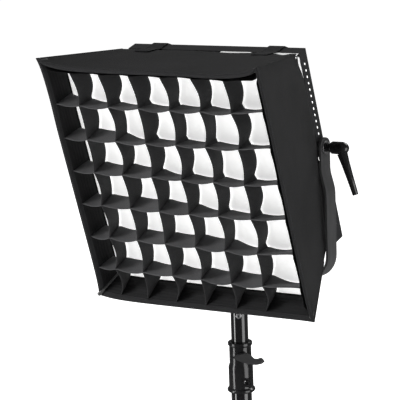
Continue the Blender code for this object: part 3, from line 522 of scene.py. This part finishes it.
def outward(a):
    """Unit vector away from the shell's middle; it turns smoothly at the corners."""
    index, t = split_turn(a)
    neighbour = (index + (1 if t > 0.5 else -1)) % 4
    share = 0.5 * max(0.0, 1 - min(t, 1 - t) / 0.03)
    return Vector(OUTWARD[SIDES[index]]) * (1 - share) + Vector(OUTWARD[SIDES[neighbour]]) * share


# where the rear edge stands off the panel: side, share along it, reach and depth
REAR_DIPS = (
    ("top", 0.84, 0.055, 0.0026), ("top", 0.62, 0.08, 0.0015),
    ("right", 0.14, 0.05, 0.0020), ("right", 0.88, 0.09, -0.0030),
)


def slack(a, b, point):
    """How far the cloth gives outwards: it dips between its corners and ripples a little."""
    index, t = split_turn(a)
    loose = ease(min(t, 1 - t) / 0.10) * ease((1 - b) / 0.08)
    ripple = 0.0008 * noise.noise(point * 13.0) + 0.00035 * noise.noise(point * 40.0)
    dip = SHELL_DIP * math.sin(math.pi * t) * math.sin(math.pi * min(max(b, 0.0), 1.0))
    for side, middle, reach, depth in REAR_DIPS:
        if SIDES[index] == side:
            dip += depth * math.exp(-((t - middle) / reach) ** 2) * (1 - b) ** 4
    return ripple * loose - dip


def around(a, b=0.0, inset=0.0, at=None):
    """Head coordinates on the shell, a share of the turn round it; at gives a forward
    position in place of b, and inset moves the point towards the inside."""
    index, t = split_turn(a)
    name = SIDES[index]
    if at is not None:
        rear = side_at(name, t, 0.0).y
        b = (at - rear) / (MOUTH - rear)
    point = side_at(name, t, b)
    away = outward(a)
    return point + away * (slack(a, b, point) - inset / away.length_squared)


def softbox_shell():
    """The four cloth sides, sewn into one sleeve: silver inside behind the diffuser."""
    columns, rows = 240, 28
    bm = sheet_grid(lambda a, b: in_head(*around(a, b)), columns, rows, (1.32, 0.150), closed=True)
    bmesh.ops.reverse_faces(bm, faces=bm.faces)
    lined_rows = int(rows * (DIFFUSER_FRONT - 0.02) / MOUTH)
    for index, face in enumerate(bm.faces):
        if index % rows >= lined_rows:
            face.material_index = 2
    # the front part's inner face is the darker inside cloth, painted shade
    shell = finish_piece("softbox_shell", bm, [FABRIC, LINING, FABRIC, SHADED_FABRIC_INSIDE], "head",
                         [f"side_panel_{side}" for side in SIDES], 30.0)
    thicken(shell, CLOTH, inside=1)


CORNERS = ("top_left", "top_right", "bottom_right", "bottom_left")   # each at a quarter turn


def corner_seams():
    """Narrow felled seam along each corner; the lower ones start clear of the yoke."""
    for index, name in enumerate(CORNERS):
        a = index / 4
        start = 0.01 if name.startswith("top") else 0.16

        def point(s, b):
            reach = lerp(-0.010, 0.010, s) / 4
            proud = 0.0002 + 0.0005 * math.sin(math.pi * s)
            return in_head(*around(a + reach, lerp(start, 0.955, b), -proud))

        bm = sheet_grid(point, 8, 30, (0.008, 0.150))
        bmesh.ops.reverse_faces(bm, faces=bm.faces)
        seam = finish_piece(f"corner_seam_{name}", bm, [FABRIC], "head")
        thicken(seam, 0.0004)


def ring(name, profile, materials, replaces=(), columns=320, width=1.40):
    """Closed band round the inside or the mouth of the shell; profile(s, a) gives the
    (forward, inset) of its section, closed, with s from 0 to 1."""
    steps = 14

    def point(a, s):
        forward, inset = profile(s % 1.0, a)
        return in_head(*around(a, at=forward, inset=inset))

    bm = bmesh.new()
    cloth = bm.loops.layers.uv.new("cloth")
    rings = [[bm.verts.new(point(i / columns, j / steps)) for j in range(steps)]
             for i in range(columns)]
    for i in range(columns):
        for j in range(steps):
            marks = ((i, j), (i, j + 1), (i + 1, j + 1), (i + 1, j))
            face = bm.faces.new([rings[c % columns][r % steps] for c, r in marks])
            for loop, (c, r) in zip(face.loops, marks):
                loop[cloth].uv = (c / columns * width, r / steps * 0.05)
    bmesh.ops.recalc_face_normals(bm, faces=bm.faces)
    finish_piece(name, bm, materials, "head", replaces)


def rounded_section(rear, front, outer, inner, softness=5.0):
    """Section of a band from rear to front and outer to inner inset, as a soft rectangle."""
    def section(s, a):
        angle = math.tau * s
        c, d = math.cos(angle), math.sin(angle)
        size = (abs(c) ** softness + abs(d) ** softness) ** (-1 / softness)
        return ((rear + front) / 2 + (front - rear) / 2 * c * size,
                (outer + inner) / 2 + (inner - outer) / 2 * d * size)
    return section


def stitches(name, place, length, spacing, size=0.0002):
    """Row of short threads; place(share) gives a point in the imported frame."""
    count = int(length / spacing)
    bm = bmesh.new()
    for index in range(count):
        start = place((index + 0.15) / count)
        end = place((index + 0.80) / count)
        aim = (end - start).to_track_quat("Z", "Y").to_matrix().to_4x4()
        middle = Matrix.Translation((start + end) / 2)
        shape = Matrix.Diagonal((size, size, (end - start).length / 2, 1.0))
        bmesh.ops.create_icosphere(bm, subdivisions=1, radius=1.0, matrix=middle @ aim @ shape)
    finish_piece(name, bm, [THREAD], "head", smooth_angle=180.0)


HEM_FOLD = 0.0030                     # how far the binding reaches inside at the corners
HEM_INSIDE = {"top": 0.0050, "right": HEM_FOLD, "bottom": HEM_FOLD, "left": 0.0042}


def mouth_hem():
    """Binding folded over a stiff edge round the mouth, with its two rows of stitches."""
    def section(s, a):
        index, t = split_turn(a)
        inner = lerp(HEM_FOLD, HEM_INSIDE[SIDES[index]], ease(min(t, 1 - t) / 0.08))
        return rounded_section(MOUTH - 0.0060, MOUTH + 0.0010, -0.0007, inner)(s, a)

    ring("mouth_hem", section, [TAPE], ["front_hem"], 400)

    def row(forward, inset):
        return lambda share: in_head(*around(share, at=forward, inset=inset))

    stitches("hem_stitches_outside", row(MOUTH - 0.0046, -0.0009), 1.42, 0.0030)
    stitches("hem_stitches_front", row(MOUTH + 0.0011, 0.0020), 1.40, 0.0030)


def linings():
    """Tape that holds the diffuser, and the grid's border, both just inside the cloth."""
    outer = CLOTH + 0.0004
    inner = outer + 0.0012
    tape = rounded_section(TAPE_LOW.y, TAPE_HIGH.y, outer, inner)
    ring("diffuser_hook_tape", tape, [HOOK_TAPE], ["diffuser_tape"], 240)
    flat_border = rounded_section(GRID_LOW.y, GRID_HIGH.y + 0.0012, outer, inner)

    def border(s, a):
        index, t = split_turn(a)
        name = SIDES[index]
        forward, inset = flat_border(s, a)
        edge = side_at(name, t, 1.0)
        place = edge.x if name in ("top", "bottom") else edge.z
        return forward, inset + border_lean(name, place, forward)

    ring("grid_border_tape", border, [HOOK_TAPE], ["grid_border"])


def patch(forward, inset):
    """Point of a sheet across the shell, from (0, 0) low on the left to (1, 1)."""
    def edge(a, at_end=False):
        """Point a share of the turn round; a side's end is taken just short of the corner."""
        return around(a - (1e-9 if at_end else 0.0), at=forward, inset=inset)

    def point(s, t):
        low, high = edge((3 - s) / 4, s == 0), edge(s / 4, s == 1)
        left, right = edge((3 + t) / 4, t == 1), edge((2 - t) / 4, t == 0)
        corners = [edge(0.75), edge(0.5), edge(0.0), edge(0.25)]
        ruled = low.lerp(high, t) + left.lerp(right, s)
        return ruled - corners[0].lerp(corners[1], s).lerp(corners[2].lerp(corners[3], s), t)
    return point


def diffuser_cloth():
    flat = patch(DIFFUSER_FRONT, CLOTH + 0.0003)

    def point(s, t):
        p = flat(s, t)
        held = math.sin(math.pi * s) * math.sin(math.pi * t)
        where = Vector((p.x * 9.0, p.z * 9.0, 4.0))
        p.y += 0.0012 * held + 0.0016 * noise.noise(where) * ease(held / 0.15)
        return in_head(*p)

    bm = sheet_grid(point, 90, 94, (0.335, 0.345))
    cloth = finish_piece("diffuser_cloth", bm, [DIFFUSION], "head", ["diffuser"])
    thicken(cloth, 0.0004, 0.0)


# ---- the egg-crate grid -------------------------------------------------------------
GRID_INSET = CLOTH + 0.0018           # strips end on the border's inner face
CHANCE = random.Random(11)
UPRIGHTS = [extent(f"grid_strip_upright_{i + 1}") for i in range(GRID_COUNT)]
LEVELS = [sum(v.z for v in extent(f"grid_strip_level_{i + 1}")) / 2 for i in range(GRID_COUNT)]


def upright_across(index, up):
    """Nominal place of an upright strip at a height."""
    low, high = UPRIGHTS[index]
    return lerp(low.x, high.x, (up - low.z) / (high.z - low.z))


BORDER_LEAN = {"top": 0.0052, "right": 0.0056, "bottom": 0.0004, "left": 0.0010}
BORDER_ENDS = {"top": 0.180, "right": 0.178, "bottom": 0.180, "left": 0.178}


def border_lean(name, place, forward):
    """How far the grid's border is drawn inwards towards its front: most at the strips,
    and at the top also where the sleeve rises to its corners and the border doesn't."""
    if name in ("top", "bottom"):
        level = GRID_HIGH.z if name == "top" else GRID_LOW.z
        knots = [upright_across(i, level) for i in range(GRID_COUNT)]
    else:
        knots = LEVELS
    to_end = BORDER_ENDS[name] - abs(place)
    pull = 0.0014 * math.exp(-(min(abs(place - knot) for knot in knots) / 0.008) ** 2)
    pull *= min(BORDER_LEAN[name] / 0.0020, 1.0)
    wander = 0.0010 * noise.noise(Vector((place * 28.0, SIDES.index(name) * 7.0, 3.0)))
    lean = max(BORDER_LEAN[name] + wander + pull, 0.0) * ease(to_end / 0.016)
    drop = max(top_up(place, 1.0) - top_middle(place), 0.0) * 0.9 if name == "top" else 0.0
    drop *= ease((to_end - 0.004) / 0.004)
    return (drop + lean) * ease((forward - GRID_LOW.y) / GRID_DEPTH)


def uneven(middle, spread, count):
    """Seeded values about a middle."""
    return [middle + spread * CHANCE.uniform(-1, 1) for _ in range(count)]


def give_between(position, knots, shifts, bows):
    """Sideways give of a strip: a shift at each crossing and a bow in each cell."""
    cell = max(i for i in range(CELLS) if position >= knots[i] or i == 0)
    s = (position - knots[cell]) / (knots[cell + 1] - knots[cell])
    s = min(max(s, 0.0), 1.0)
    return lerp(shifts[cell], shifts[cell + 1], ease(s)) + bows[cell] * math.sin(math.pi * s)


def depth_share(d):
    """Forward position of the strips, from their front edge (d = 0) to the rear."""
    return lerp(GRID_HIGH.y, GRID_LOW.y, d)


def shell_share(name, forward):
    """Share of the way from a side's rear edge to the mouth."""
    rear = {"top": TOP_REAR_EDGE, "bottom": BOTTOM_REAR_EDGE}.get(name, SIDE_REAR_EDGE)
    return (forward - rear) / (MOUTH - rear)


def upright_strip(index):
    """An upright strip bows sideways in each cell, its rear edge more than its front."""
    shifts = [uneven(-0.0020, 0.0014, CELLS + 1), uneven(-0.0042, 0.0012, CELLS + 1)]
    bows = [uneven(0.0046, 0.0030, CELLS), uneven(0.0066, 0.0030, CELLS)]
    shifts[0][-1] -= 0.0050

    def point(t, d):
        forward = depth_share(d)
        middle = upright_across(index, 0.0)
        low = bottom_up(middle, shell_share("bottom", forward)) + GRID_INSET
        high = top_up(middle, shell_share("top", forward)) - GRID_INSET
        low += border_lean("bottom", middle, forward)
        high -= border_lean("top", middle, forward)
        up = lerp(low, high, t)
        knots = [low] + LEVELS + [high]
        front, rear = (give_between(up, knots, shifts[i], bows[i]) for i in (0, 1))
        roll = 0.0006 * math.sin(math.pi * d) * noise.noise(Vector((index * 3.3, up * 40.0, 1.0)))
        return in_head(upright_across(index, up) + lerp(front, rear, ease(d)) + roll, forward, up)

    bm = sheet_grid(point, 140, 10, (0.355, GRID_DEPTH))
    finish_grid_strip(f"upright_{index + 1}", bm, GRID_FABRIC)


def level_strip(index):
    """A level strip droops in each cell, and its rear edge sags more in the upper right."""
    shifts = [uneven(0.0, 0.0008, CELLS + 1), uneven(0.0, 0.0008, CELLS + 1)]
    bows = [uneven(-0.0036, 0.0012, CELLS), uneven(-0.0030, 0.0014, CELLS)]
    for row in shifts:
        row[-1] += 0.0045
    bows[0][-1] += 0.0025

    def point(t, d):
        forward = depth_share(d)
        up = LEVELS[index]
        low = left_across(up, shell_share("left", forward)) + GRID_INSET
        high = right_across(up, shell_share("right", forward)) - GRID_INSET
        low += border_lean("left", up, forward)
        high -= border_lean("right", up, forward)
        across = lerp(low, high, t)
        knots = [low] + [upright_across(i, up) for i in range(GRID_COUNT)] + [high]
        front, rear = (give_between(across, knots, shifts[i], bows[i]) for i in (0, 1))
        droop = lerp(0.0025, -0.0060, ease((across + up + 0.045) / 0.055))
        return in_head(across, forward, up + lerp(front, rear + droop, ease(d)))

    bm = sheet_grid(point, 140, 10, (0.350, GRID_DEPTH))
    # the lighter copy of the grid cloth is painted light on the strips' upward faces
    finish_grid_strip(f"level_{index + 1}", bm, LIT_LEVEL_FABRIC)


def finish_grid_strip(name, bm, fabric):
    strip = finish_piece(f"grid_cloth_{name}", bm, [fabric], "head", [f"grid_strip_{name}"], 60.0)
    thicken(strip, GRID_CLOTH, 0.0)


# ---- what holds the softbox to the panel ----------------------------------------------
GLOWING_LINING_ALONG_TOP = ((0.016, 0.070), (0.100, 0.144))     # stretches where the gusset shows its glowing silver side: painted light leaking past the panel
GLOWING_LINING_AT_RIGHT = (0.104, 0.142)


def glowing_lining_here(p):
    """Whether a place in head coordinates gets the gusset's glowing silver side, painted light
    leaking past the panel.
    """
    if p.z > 0.130 and p.y < 0.030:
        return any(start < p.x < end for start, end in GLOWING_LINING_ALONG_TOP)
    return p.x > 0.130 and GLOWING_LINING_AT_RIGHT[0] < p.z < GLOWING_LINING_AT_RIGHT[1]


def rear_gusset():
    """Skirt from inside the shell's rear edge to the bezel, or to the rim where its glowing silver
    side paints light leaking past the panel; elsewhere it is the darker inside cloth, painted
    shade.
    """
    def point(a, s):
        front = around(a, 0.025, CLOTH + 0.0010)
        half, high, low = BEZEL_HIGH.x - 0.0012, BEZEL_HIGH.z - 0.0010, BEZEL_LOW.z + 0.0010
        start = BEZEL_HIGH.y + 0.0004
        if glowing_lining_here(front):
            half, high, start = RIM_HIGH.x - 0.0006, RIM_HIGH.z - 0.0006, RIM_HIGH.y + 0.0007
        back = Vector((max(min(front.x, half), -half), start, max(min(front.z, high), low)))
        return in_head(*back.lerp(front, s))

    bm = sheet_grid(point, 400, 6, (1.16, 0.015), closed=True)
    for face in bm.faces:
        middle = HEAD.inverted() @ face.calc_center_median()
        if not glowing_lining_here(Vector((middle.x, -middle.y, middle.z))):
            # faces away from the glowing stretches get the darker inside cloth, painted shade
            face.material_index = 1
    skirt = finish_piece("rear_gusset", bm, [LIT_LINING, SHADED_FABRIC_INSIDE], "head", ["rear_skirt"],
                         60.0)
    thicken(skirt, 0.0005, 0.0)


def turned_piece(name, profile, matrix, materials, body, steps, replaces=()):
    """Turn a (radius, height) profile about the matrix's third axis."""
    bm = bmesh.new()
    verts = [bm.verts.new((radius, 0.0, height)) for radius, height in profile]
    edges = [bm.edges.new(pair) for pair in zip(verts, verts[1:])]
    bmesh.ops.spin(bm, geom=verts + edges, cent=(0, 0, 0), axis=(0, 0, 1), dvec=(0, 0, 0),
                   angle=math.tau, steps=steps, use_merge=True, use_duplicate=False)
    bmesh.ops.remove_doubles(bm, verts=bm.verts, dist=1e-7)
    bmesh.ops.dissolve_degenerate(bm, edges=bm.edges, dist=1e-7)
    bmesh.ops.recalc_face_normals(bm, faces=bm.faces)
    bm.transform(matrix)
    finish_piece(name, bm, materials, body, replaces)


def aimed(origin, direction):
    """Matrix at origin with its third axis along direction."""
    matrix = direction.to_track_quat("Z", "Y").to_matrix().to_4x4()
    matrix.translation = origin
    return matrix


def corner_rods():
    """Fibreglass rods in the corner sleeves; the lower left one's cap sticks out."""
    radius = 0.0021
    for index, name in enumerate(CORNERS):
        a = index / 4
        start = in_head(*around(a, 0.03, 0.0045))
        end = in_head(*around(a, 1.0, 0.0040))
        along = (end - start).normalized()
        length = (end - start).length + (0.0060 if name == "bottom_left" else -0.0015)
        cap_start = length - 0.012
        rod = [(0.0, 0.0), (radius * 0.8, 0.0), (radius, radius * 0.3), (radius, cap_start)]
        cap = [(radius * 1.35, cap_start), (radius * 1.4, length - 0.0015),
               (radius, length - 0.0003), (radius * 0.5, length), (0.0, length)]
        turned_piece(f"corner_rod_with_cap_{name}", rod + cap, aimed(start, along), [ROD], "head",
                     20, [f"corner_rod_{name}"])


def smooth_path(points, steps=8):
    """Points of a smooth curve through the given ones (Catmull-Rom)."""
    points = [Vector(p) for p in points]
    padded = [2 * points[0] - points[1]] + points + [2 * points[-1] - points[-2]]
    path = []
    for i in range(1, len(padded) - 2):
        a, b, c, d = padded[i - 1:i + 3]
        for step in range(steps):
            t = step / steps
            path.append(0.5 * ((2 * b) + (c - a) * t + (2 * a - 5 * b + 4 * c - d) * t ** 2
                               + (3 * b - a - 3 * c + d) * t ** 3))
    return path + [points[-1]]


def strap(name, level, across):
    """Webbing from the sleeve, over the panel's rim and down its back."""
    low, high = extent(name)
    width = high.x - low.x
    sign = 1 if level == "top" else -1
    rim = (RIM_HIGH.z if level == "top" else -RIM_LOW.z) + 0.0011
    edge = TOP_REAR_EDGE if level == "top" else BOTTOM_REAR_EDGE
    sleeve = top_up(across, 0.02) if level == "top" else -bottom_up(across, 0.02)
    mouth = top_middle(across) if level == "top" else -bottom_middle(across)
    slope = (mouth - sleeve) / (MOUTH - edge)
    lift = 0.0009
    start, back = high.y, low.y + 0.0007
    path = smooth_path([
        (start, sleeve + (start - edge) * slope + lift), (edge + 0.004, sleeve + lift + 0.0002),
        (RIM_HIGH.y + 0.001, rim), (RIM_LOW.y + 0.001, rim), (RIM_LOW.y - 0.003, rim - 0.0016),
        (back + 0.0029, rim - 0.0080), (back + 0.0003, rim - 0.0125), (back, rim - 0.0180),
        (back, rim - 0.0320), (back, rim - 0.0500)])
    lengths = [0.0]
    for a, b in zip(path, path[1:]):
        lengths.append(lengths[-1] + (b - a).length)

    def point(s, t):
        forward, up = path[round(t * (len(path) - 1))]
        return in_head(across + lerp(-width / 2, width / 2, s), forward, sign * up)

    bm = sheet_grid(point, 6, len(path) - 1, (width, lengths[-1]))
    bmesh.ops.recalc_face_normals(bm, faces=bm.faces)
    webbing_strip = finish_piece(f"webbing_{name}", bm, [STRAP], "head", [name], 60.0)
    thicken(webbing_strip, 0.0013, 0.0)
    edges = webbing_strip.modifiers.new("edge", "BEVEL")
    edges.width = 0.0003
    edges.segments = 2
    box_stitches(name, across, width, path, sign)


def box_stitches(name, across, width, path, sign):
    """Sewn square at the sleeve's end of a strap."""
    first, second = path[0], path[6]
    inset = 0.003

    def corner_point(s, t):
        forward, up = first.lerp(second, lerp(0.12, 0.95, t))
        lift = 0.0008 * sign
        beside = lerp(-width / 2 + inset, width / 2 - inset, s)
        return in_head(across + beside, forward, sign * up + lift)

    marks = [(0, 0), (1, 0), (1, 1), (0, 1), (0, 0)]

    def place(share):
        leg = min(int(share * 4), 3)
        t = share * 4 - leg
        return corner_point(*marks[leg]).lerp(corner_point(*marks[leg + 1]), t)

    stitches(f"stitches_{name}", place, 0.066, 0.0028)


def press_stud(name, a, b):
    """Small bright stud through the sleeve near its rear corner."""
    centre = in_head(*around(a, b))
    away = HEAD.to_3x3() @ Vector((outward(a).x, 0, outward(a).z)).normalized()
    profile = [(0.0, 0.0011), (0.0012, 0.0011), (0.0022, 0.0008), (0.0027, 0.0002),
               (0.0028, -0.0003), (0.0, -0.0003)]
    turned_piece(f"press_stud_{name}", profile, aimed(centre, away), [STEEL], "head", 24)


FLANGE = 0.1393                       # outer face of the light guide's flanges
FLANGE_REAR = -0.0058
PIVOT_CLEARANCE = 0.0150              # half height left free for the pivot bosses
VENT_PITCH = 0.0094
VENT_COUNT = 27
VENT_LEAN = math.radians(20.0)
VENT_FORWARD = -0.0025
VENT_HALVES = (0.0014, 0.0022)        # half width and half height of a lit vent
# (across, share of the vent's size) from the flange out to a nub's domed end
NUB_SECTIONS = ((FLANGE - 0.0008, 1.0), (0.1424, 1.0), (0.1431, 0.85), (0.1434, 0.5))


def vent_lit(up):
    """The vents by the pivot are covered, and the lowest ones are dark."""
    return 0.018 <= up or -0.100 <= up <= -0.030


def light_nub(bm, side, up, steps=12):
    """Domed oval that fills one leaning vent with light."""
    rings = []
    for across, share in NUB_SECTIONS:
        rings.append([])
        for step in range(steps):
            angle = math.tau * step / steps
            a = VENT_HALVES[0] * share * math.cos(angle)
            b = VENT_HALVES[1] * share * math.sin(angle)
            forward = VENT_FORWARD - a * math.cos(VENT_LEAN) + b * math.sin(VENT_LEAN)
            rise = a * math.sin(VENT_LEAN) + b * math.cos(VENT_LEAN)
            rings[-1].append(bm.verts.new(in_head(side * across, forward, up + rise)))
    for lower, upper in zip(rings, rings[1:]):
        for i in range(steps):
            bm.faces.new((lower[i - 1], lower[i], upper[i], upper[i - 1]))
    bm.faces.new(rings[0])
    bm.faces.new(rings[-1])


def light_guide():
    """Opal sheet behind the bezel; its flanges reach the vents and fill them with light."""
    low, high = extent("light_plate")
    bm = bmesh.new()

    def block(across, forward, up):
        """Box between two positions each way."""
        near, far = (Vector(pick) for pick in zip(sorted(across), forward, up))
        middle, size = (near + far) / 2, far - near
        shape = Matrix.Translation((middle.x, -middle.y, middle.z)) @ Matrix.Diagonal((*size, 1.0))
        bmesh.ops.create_cube(bm, size=1.0, matrix=HEAD @ shape)

    block((low.x, high.x), (low.y, high.y), (low.z, high.z))
    for side in (-1, 1):
        for up in ((low.z + 0.0010, -PIVOT_CLEARANCE), (PIVOT_CLEARANCE, high.z - 0.0010)):
            tab = (side * (high.x - 0.0005), side * FLANGE)
            block(tab, (low.y + 0.0002, high.y - 0.0002), up)
            flange = (side * (FLANGE - 0.0020), side * FLANGE)
            block(flange, (FLANGE_REAR, low.y + 0.0010), up)
        for index in range(VENT_COUNT):
            up = (index - (VENT_COUNT - 1) / 2) * VENT_PITCH
            if vent_lit(up):
                light_nub(bm, side, up)
    bmesh.ops.recalc_face_normals(bm, faces=bm.faces)
    finish_piece("light_guide", bm, [OPAL], "head", ["light_plate"], 50.0)


softbox_shell()
corner_seams()
mouth_hem()
linings()
diffuser_cloth()
for number in range(GRID_COUNT):
    upright_strip(number)
    level_strip(number)
rear_gusset()
light_guide()
corner_rods()
for level_name in ("top", "bottom"):
    for side_name, sign_x in (("left", -1), ("right", 1)):
        node_name = f"strap_{level_name}_{side_name}"
        strap(node_name, level_name, sum(v.x for v in extent(node_name)) / 2)
STUD_TURN, STUD_SHARE = 0.010, 0.030   # each stud's place from its corner and the rear edge
press_stud("top_right", 0.25 + STUD_TURN, STUD_SHARE)
press_stud("top_left", 1.0 - STUD_TURN, STUD_SHARE)
press_stud("bottom_right", 0.5 - STUD_TURN, STUD_SHARE)
press_stud("bottom_left", 0.75 + STUD_TURN, STUD_SHARE)


# ---- the CAD pieces that stay ---------------------------------------------------------------
def dress(node, material, edge):
    """Give a CAD node its finish, joined-up shading and a small round on its edges."""
    piece = NODES[node]
    mesh = piece.data
    if "custom_normal" in mesh.attributes:
        mesh.attributes.remove(mesh.attributes["custom_normal"])
    mesh.materials.clear()
    mesh.materials.append(material)
    mesh.shade_smooth()
    weld = piece.modifiers.new("weld", "WELD")
    weld.merge_threshold = 0.000005
    if edge:
        rounding = piece.modifiers.new("edge", "BEVEL")
        rounding.width = edge
        rounding.segments = 2
        rounding.limit_method = "ANGLE"
        rounding.angle_limit = math.radians(32.0)
        rounding.harden_normals = True


FINISHES = {                          # each node and the round on its edges
    POWDER: {"panel_frame": 0.0005, "rear_shell": 0.0008, "stand_receiver": 0.0008,
             "receiver_t_screw": 0.0004},
    YOKE_PAINT: {"yoke_bar": 0.0005},
    GLOSS: {"riser_tube": 0.0002, "lower_tube": 0.0004, "clamp_stud_left": 0.0002,
            "clamp_stud_right": 0.0002},
    PLASTIC: {"front_bezel": 0.0004, "control_box": 0.0008, "dimmer_knob": 0.0003,
              "colour_knob": 0.0003, "power_switch": 0.0003, "power_inlet": 0.0002,
              "arm_spacer_left": 0.0003, "arm_spacer_right": 0.0003},
    SHINY_PLASTIC: {"stand_collar": 0.0003, "collar_screw": 0.0002, "lever_handle_left": 0.0006,
                    "lever_handle_right": 0.0006},
    WING_PLASTIC: {"collar_wing_lever": 0.0016},
    STEEL: {"arm_washer_left": 0.0002, "arm_washer_right": 0.0002, "receiver_bolt": 0.0004,
            "spigot": 0.0003},
    DULL_STEEL: {"riser_rivet": 0.0001},
    BOARD: {"led_board": 0.0},
    GREEN_BOARD: {"driver_board": 0.0002},
    GLASS: {"display_window": 0.0002},
}
for finish_material, members in FINISHES.items():
    for node_name, edge_round in members.items():
        dress(node_name, finish_material, edge_round)


# ---- camera, floor and light ------------------------------------------------------------
def photo_camera():
    azimuth, elevation, roll = (math.radians(x) for x in (35.57, 10.08, -2.017))
    level = math.cos(elevation)
    away = Vector((-math.sin(azimuth) * level, math.cos(azimuth) * level, -math.sin(elevation)))
    right = Vector((math.cos(azimuth), math.sin(azimuth), 0))
    above = right.cross(away)
    x_axis = right * math.cos(roll) + above * math.sin(roll)
    y_axis = above * math.cos(roll) - right * math.sin(roll)
    matrix = Matrix((x_axis, y_axis, -away)).transposed().to_4x4()
    matrix.translation = PIVOT + Vector((1.3588, -1.9871, 0.3449))
    camera = bpy.data.objects.new("camera", bpy.data.cameras.new("camera"))
    bpy.context.scene.collection.objects.link(camera)
    camera.data.lens = 154.3
    camera.data.sensor_width = 36.0
    camera.data.clip_end = 60.0
    camera.matrix_world = matrix
    bpy.context.scene.camera = camera


def floor():
    bm = bmesh.new()
    bmesh.ops.create_grid(bm, x_segments=1, y_segments=1, size=30.0)
    mesh = bpy.data.meshes.new("floor")
    bm.to_mesh(mesh)
    bm.free()
    mesh.materials.append(pale_floor())
    obj = bpy.data.objects.new("floor", mesh)
    obj.location.z = -0.0002
    bpy.context.scene.collection.objects.link(obj)
    obj.visible_glossy = False


def soft_light(name, place, aim, size, watts):
    data = bpy.data.lights.new(name, "AREA")
    data.shape = "RECTANGLE"
    data.size, data.size_y = size
    data.energy = watts
    light = bpy.data.objects.new(name, data)
    bpy.context.scene.collection.objects.link(light)
    light.visible_camera = False
    light.location = place
    light.rotation_euler = (Vector(aim) - Vector(place)).to_track_quat("-Z", "Y").to_euler()


def lighting():
    """Soft key and back lights, and two strips that the gloss tube reflects."""
    world = bpy.data.worlds.new("studio")
    world.use_nodes = True
    background = world.node_tree.nodes["Background"]
    background.inputs["Color"].default_value = (1.0, 1.0, 1.0, 1.0)
    background.inputs["Strength"].default_value = 0.12
    bpy.context.scene.world = world
    bpy.context.scene.view_settings.view_transform = "Standard"
    soft_light("key", (-1.5, -2.4, 2.5), (0, 0, 0.5), (1.0, 1.0), 90.0)
    soft_light("left_strip", (-0.86, -1.22, 0.0), (0, 0, 0.0), (0.36, 1.4), 12.0)
    soft_light("right_strip", (1.50, -0.10, 0.0), (0, 0, 0.0), (1.00, 1.4), 15.0)
    soft_light("back", (0.4, 2.4, 2.4), (0, 0, 0.5), (2.0, 1.0), 40.0)


photo_camera()
floor()
lighting()
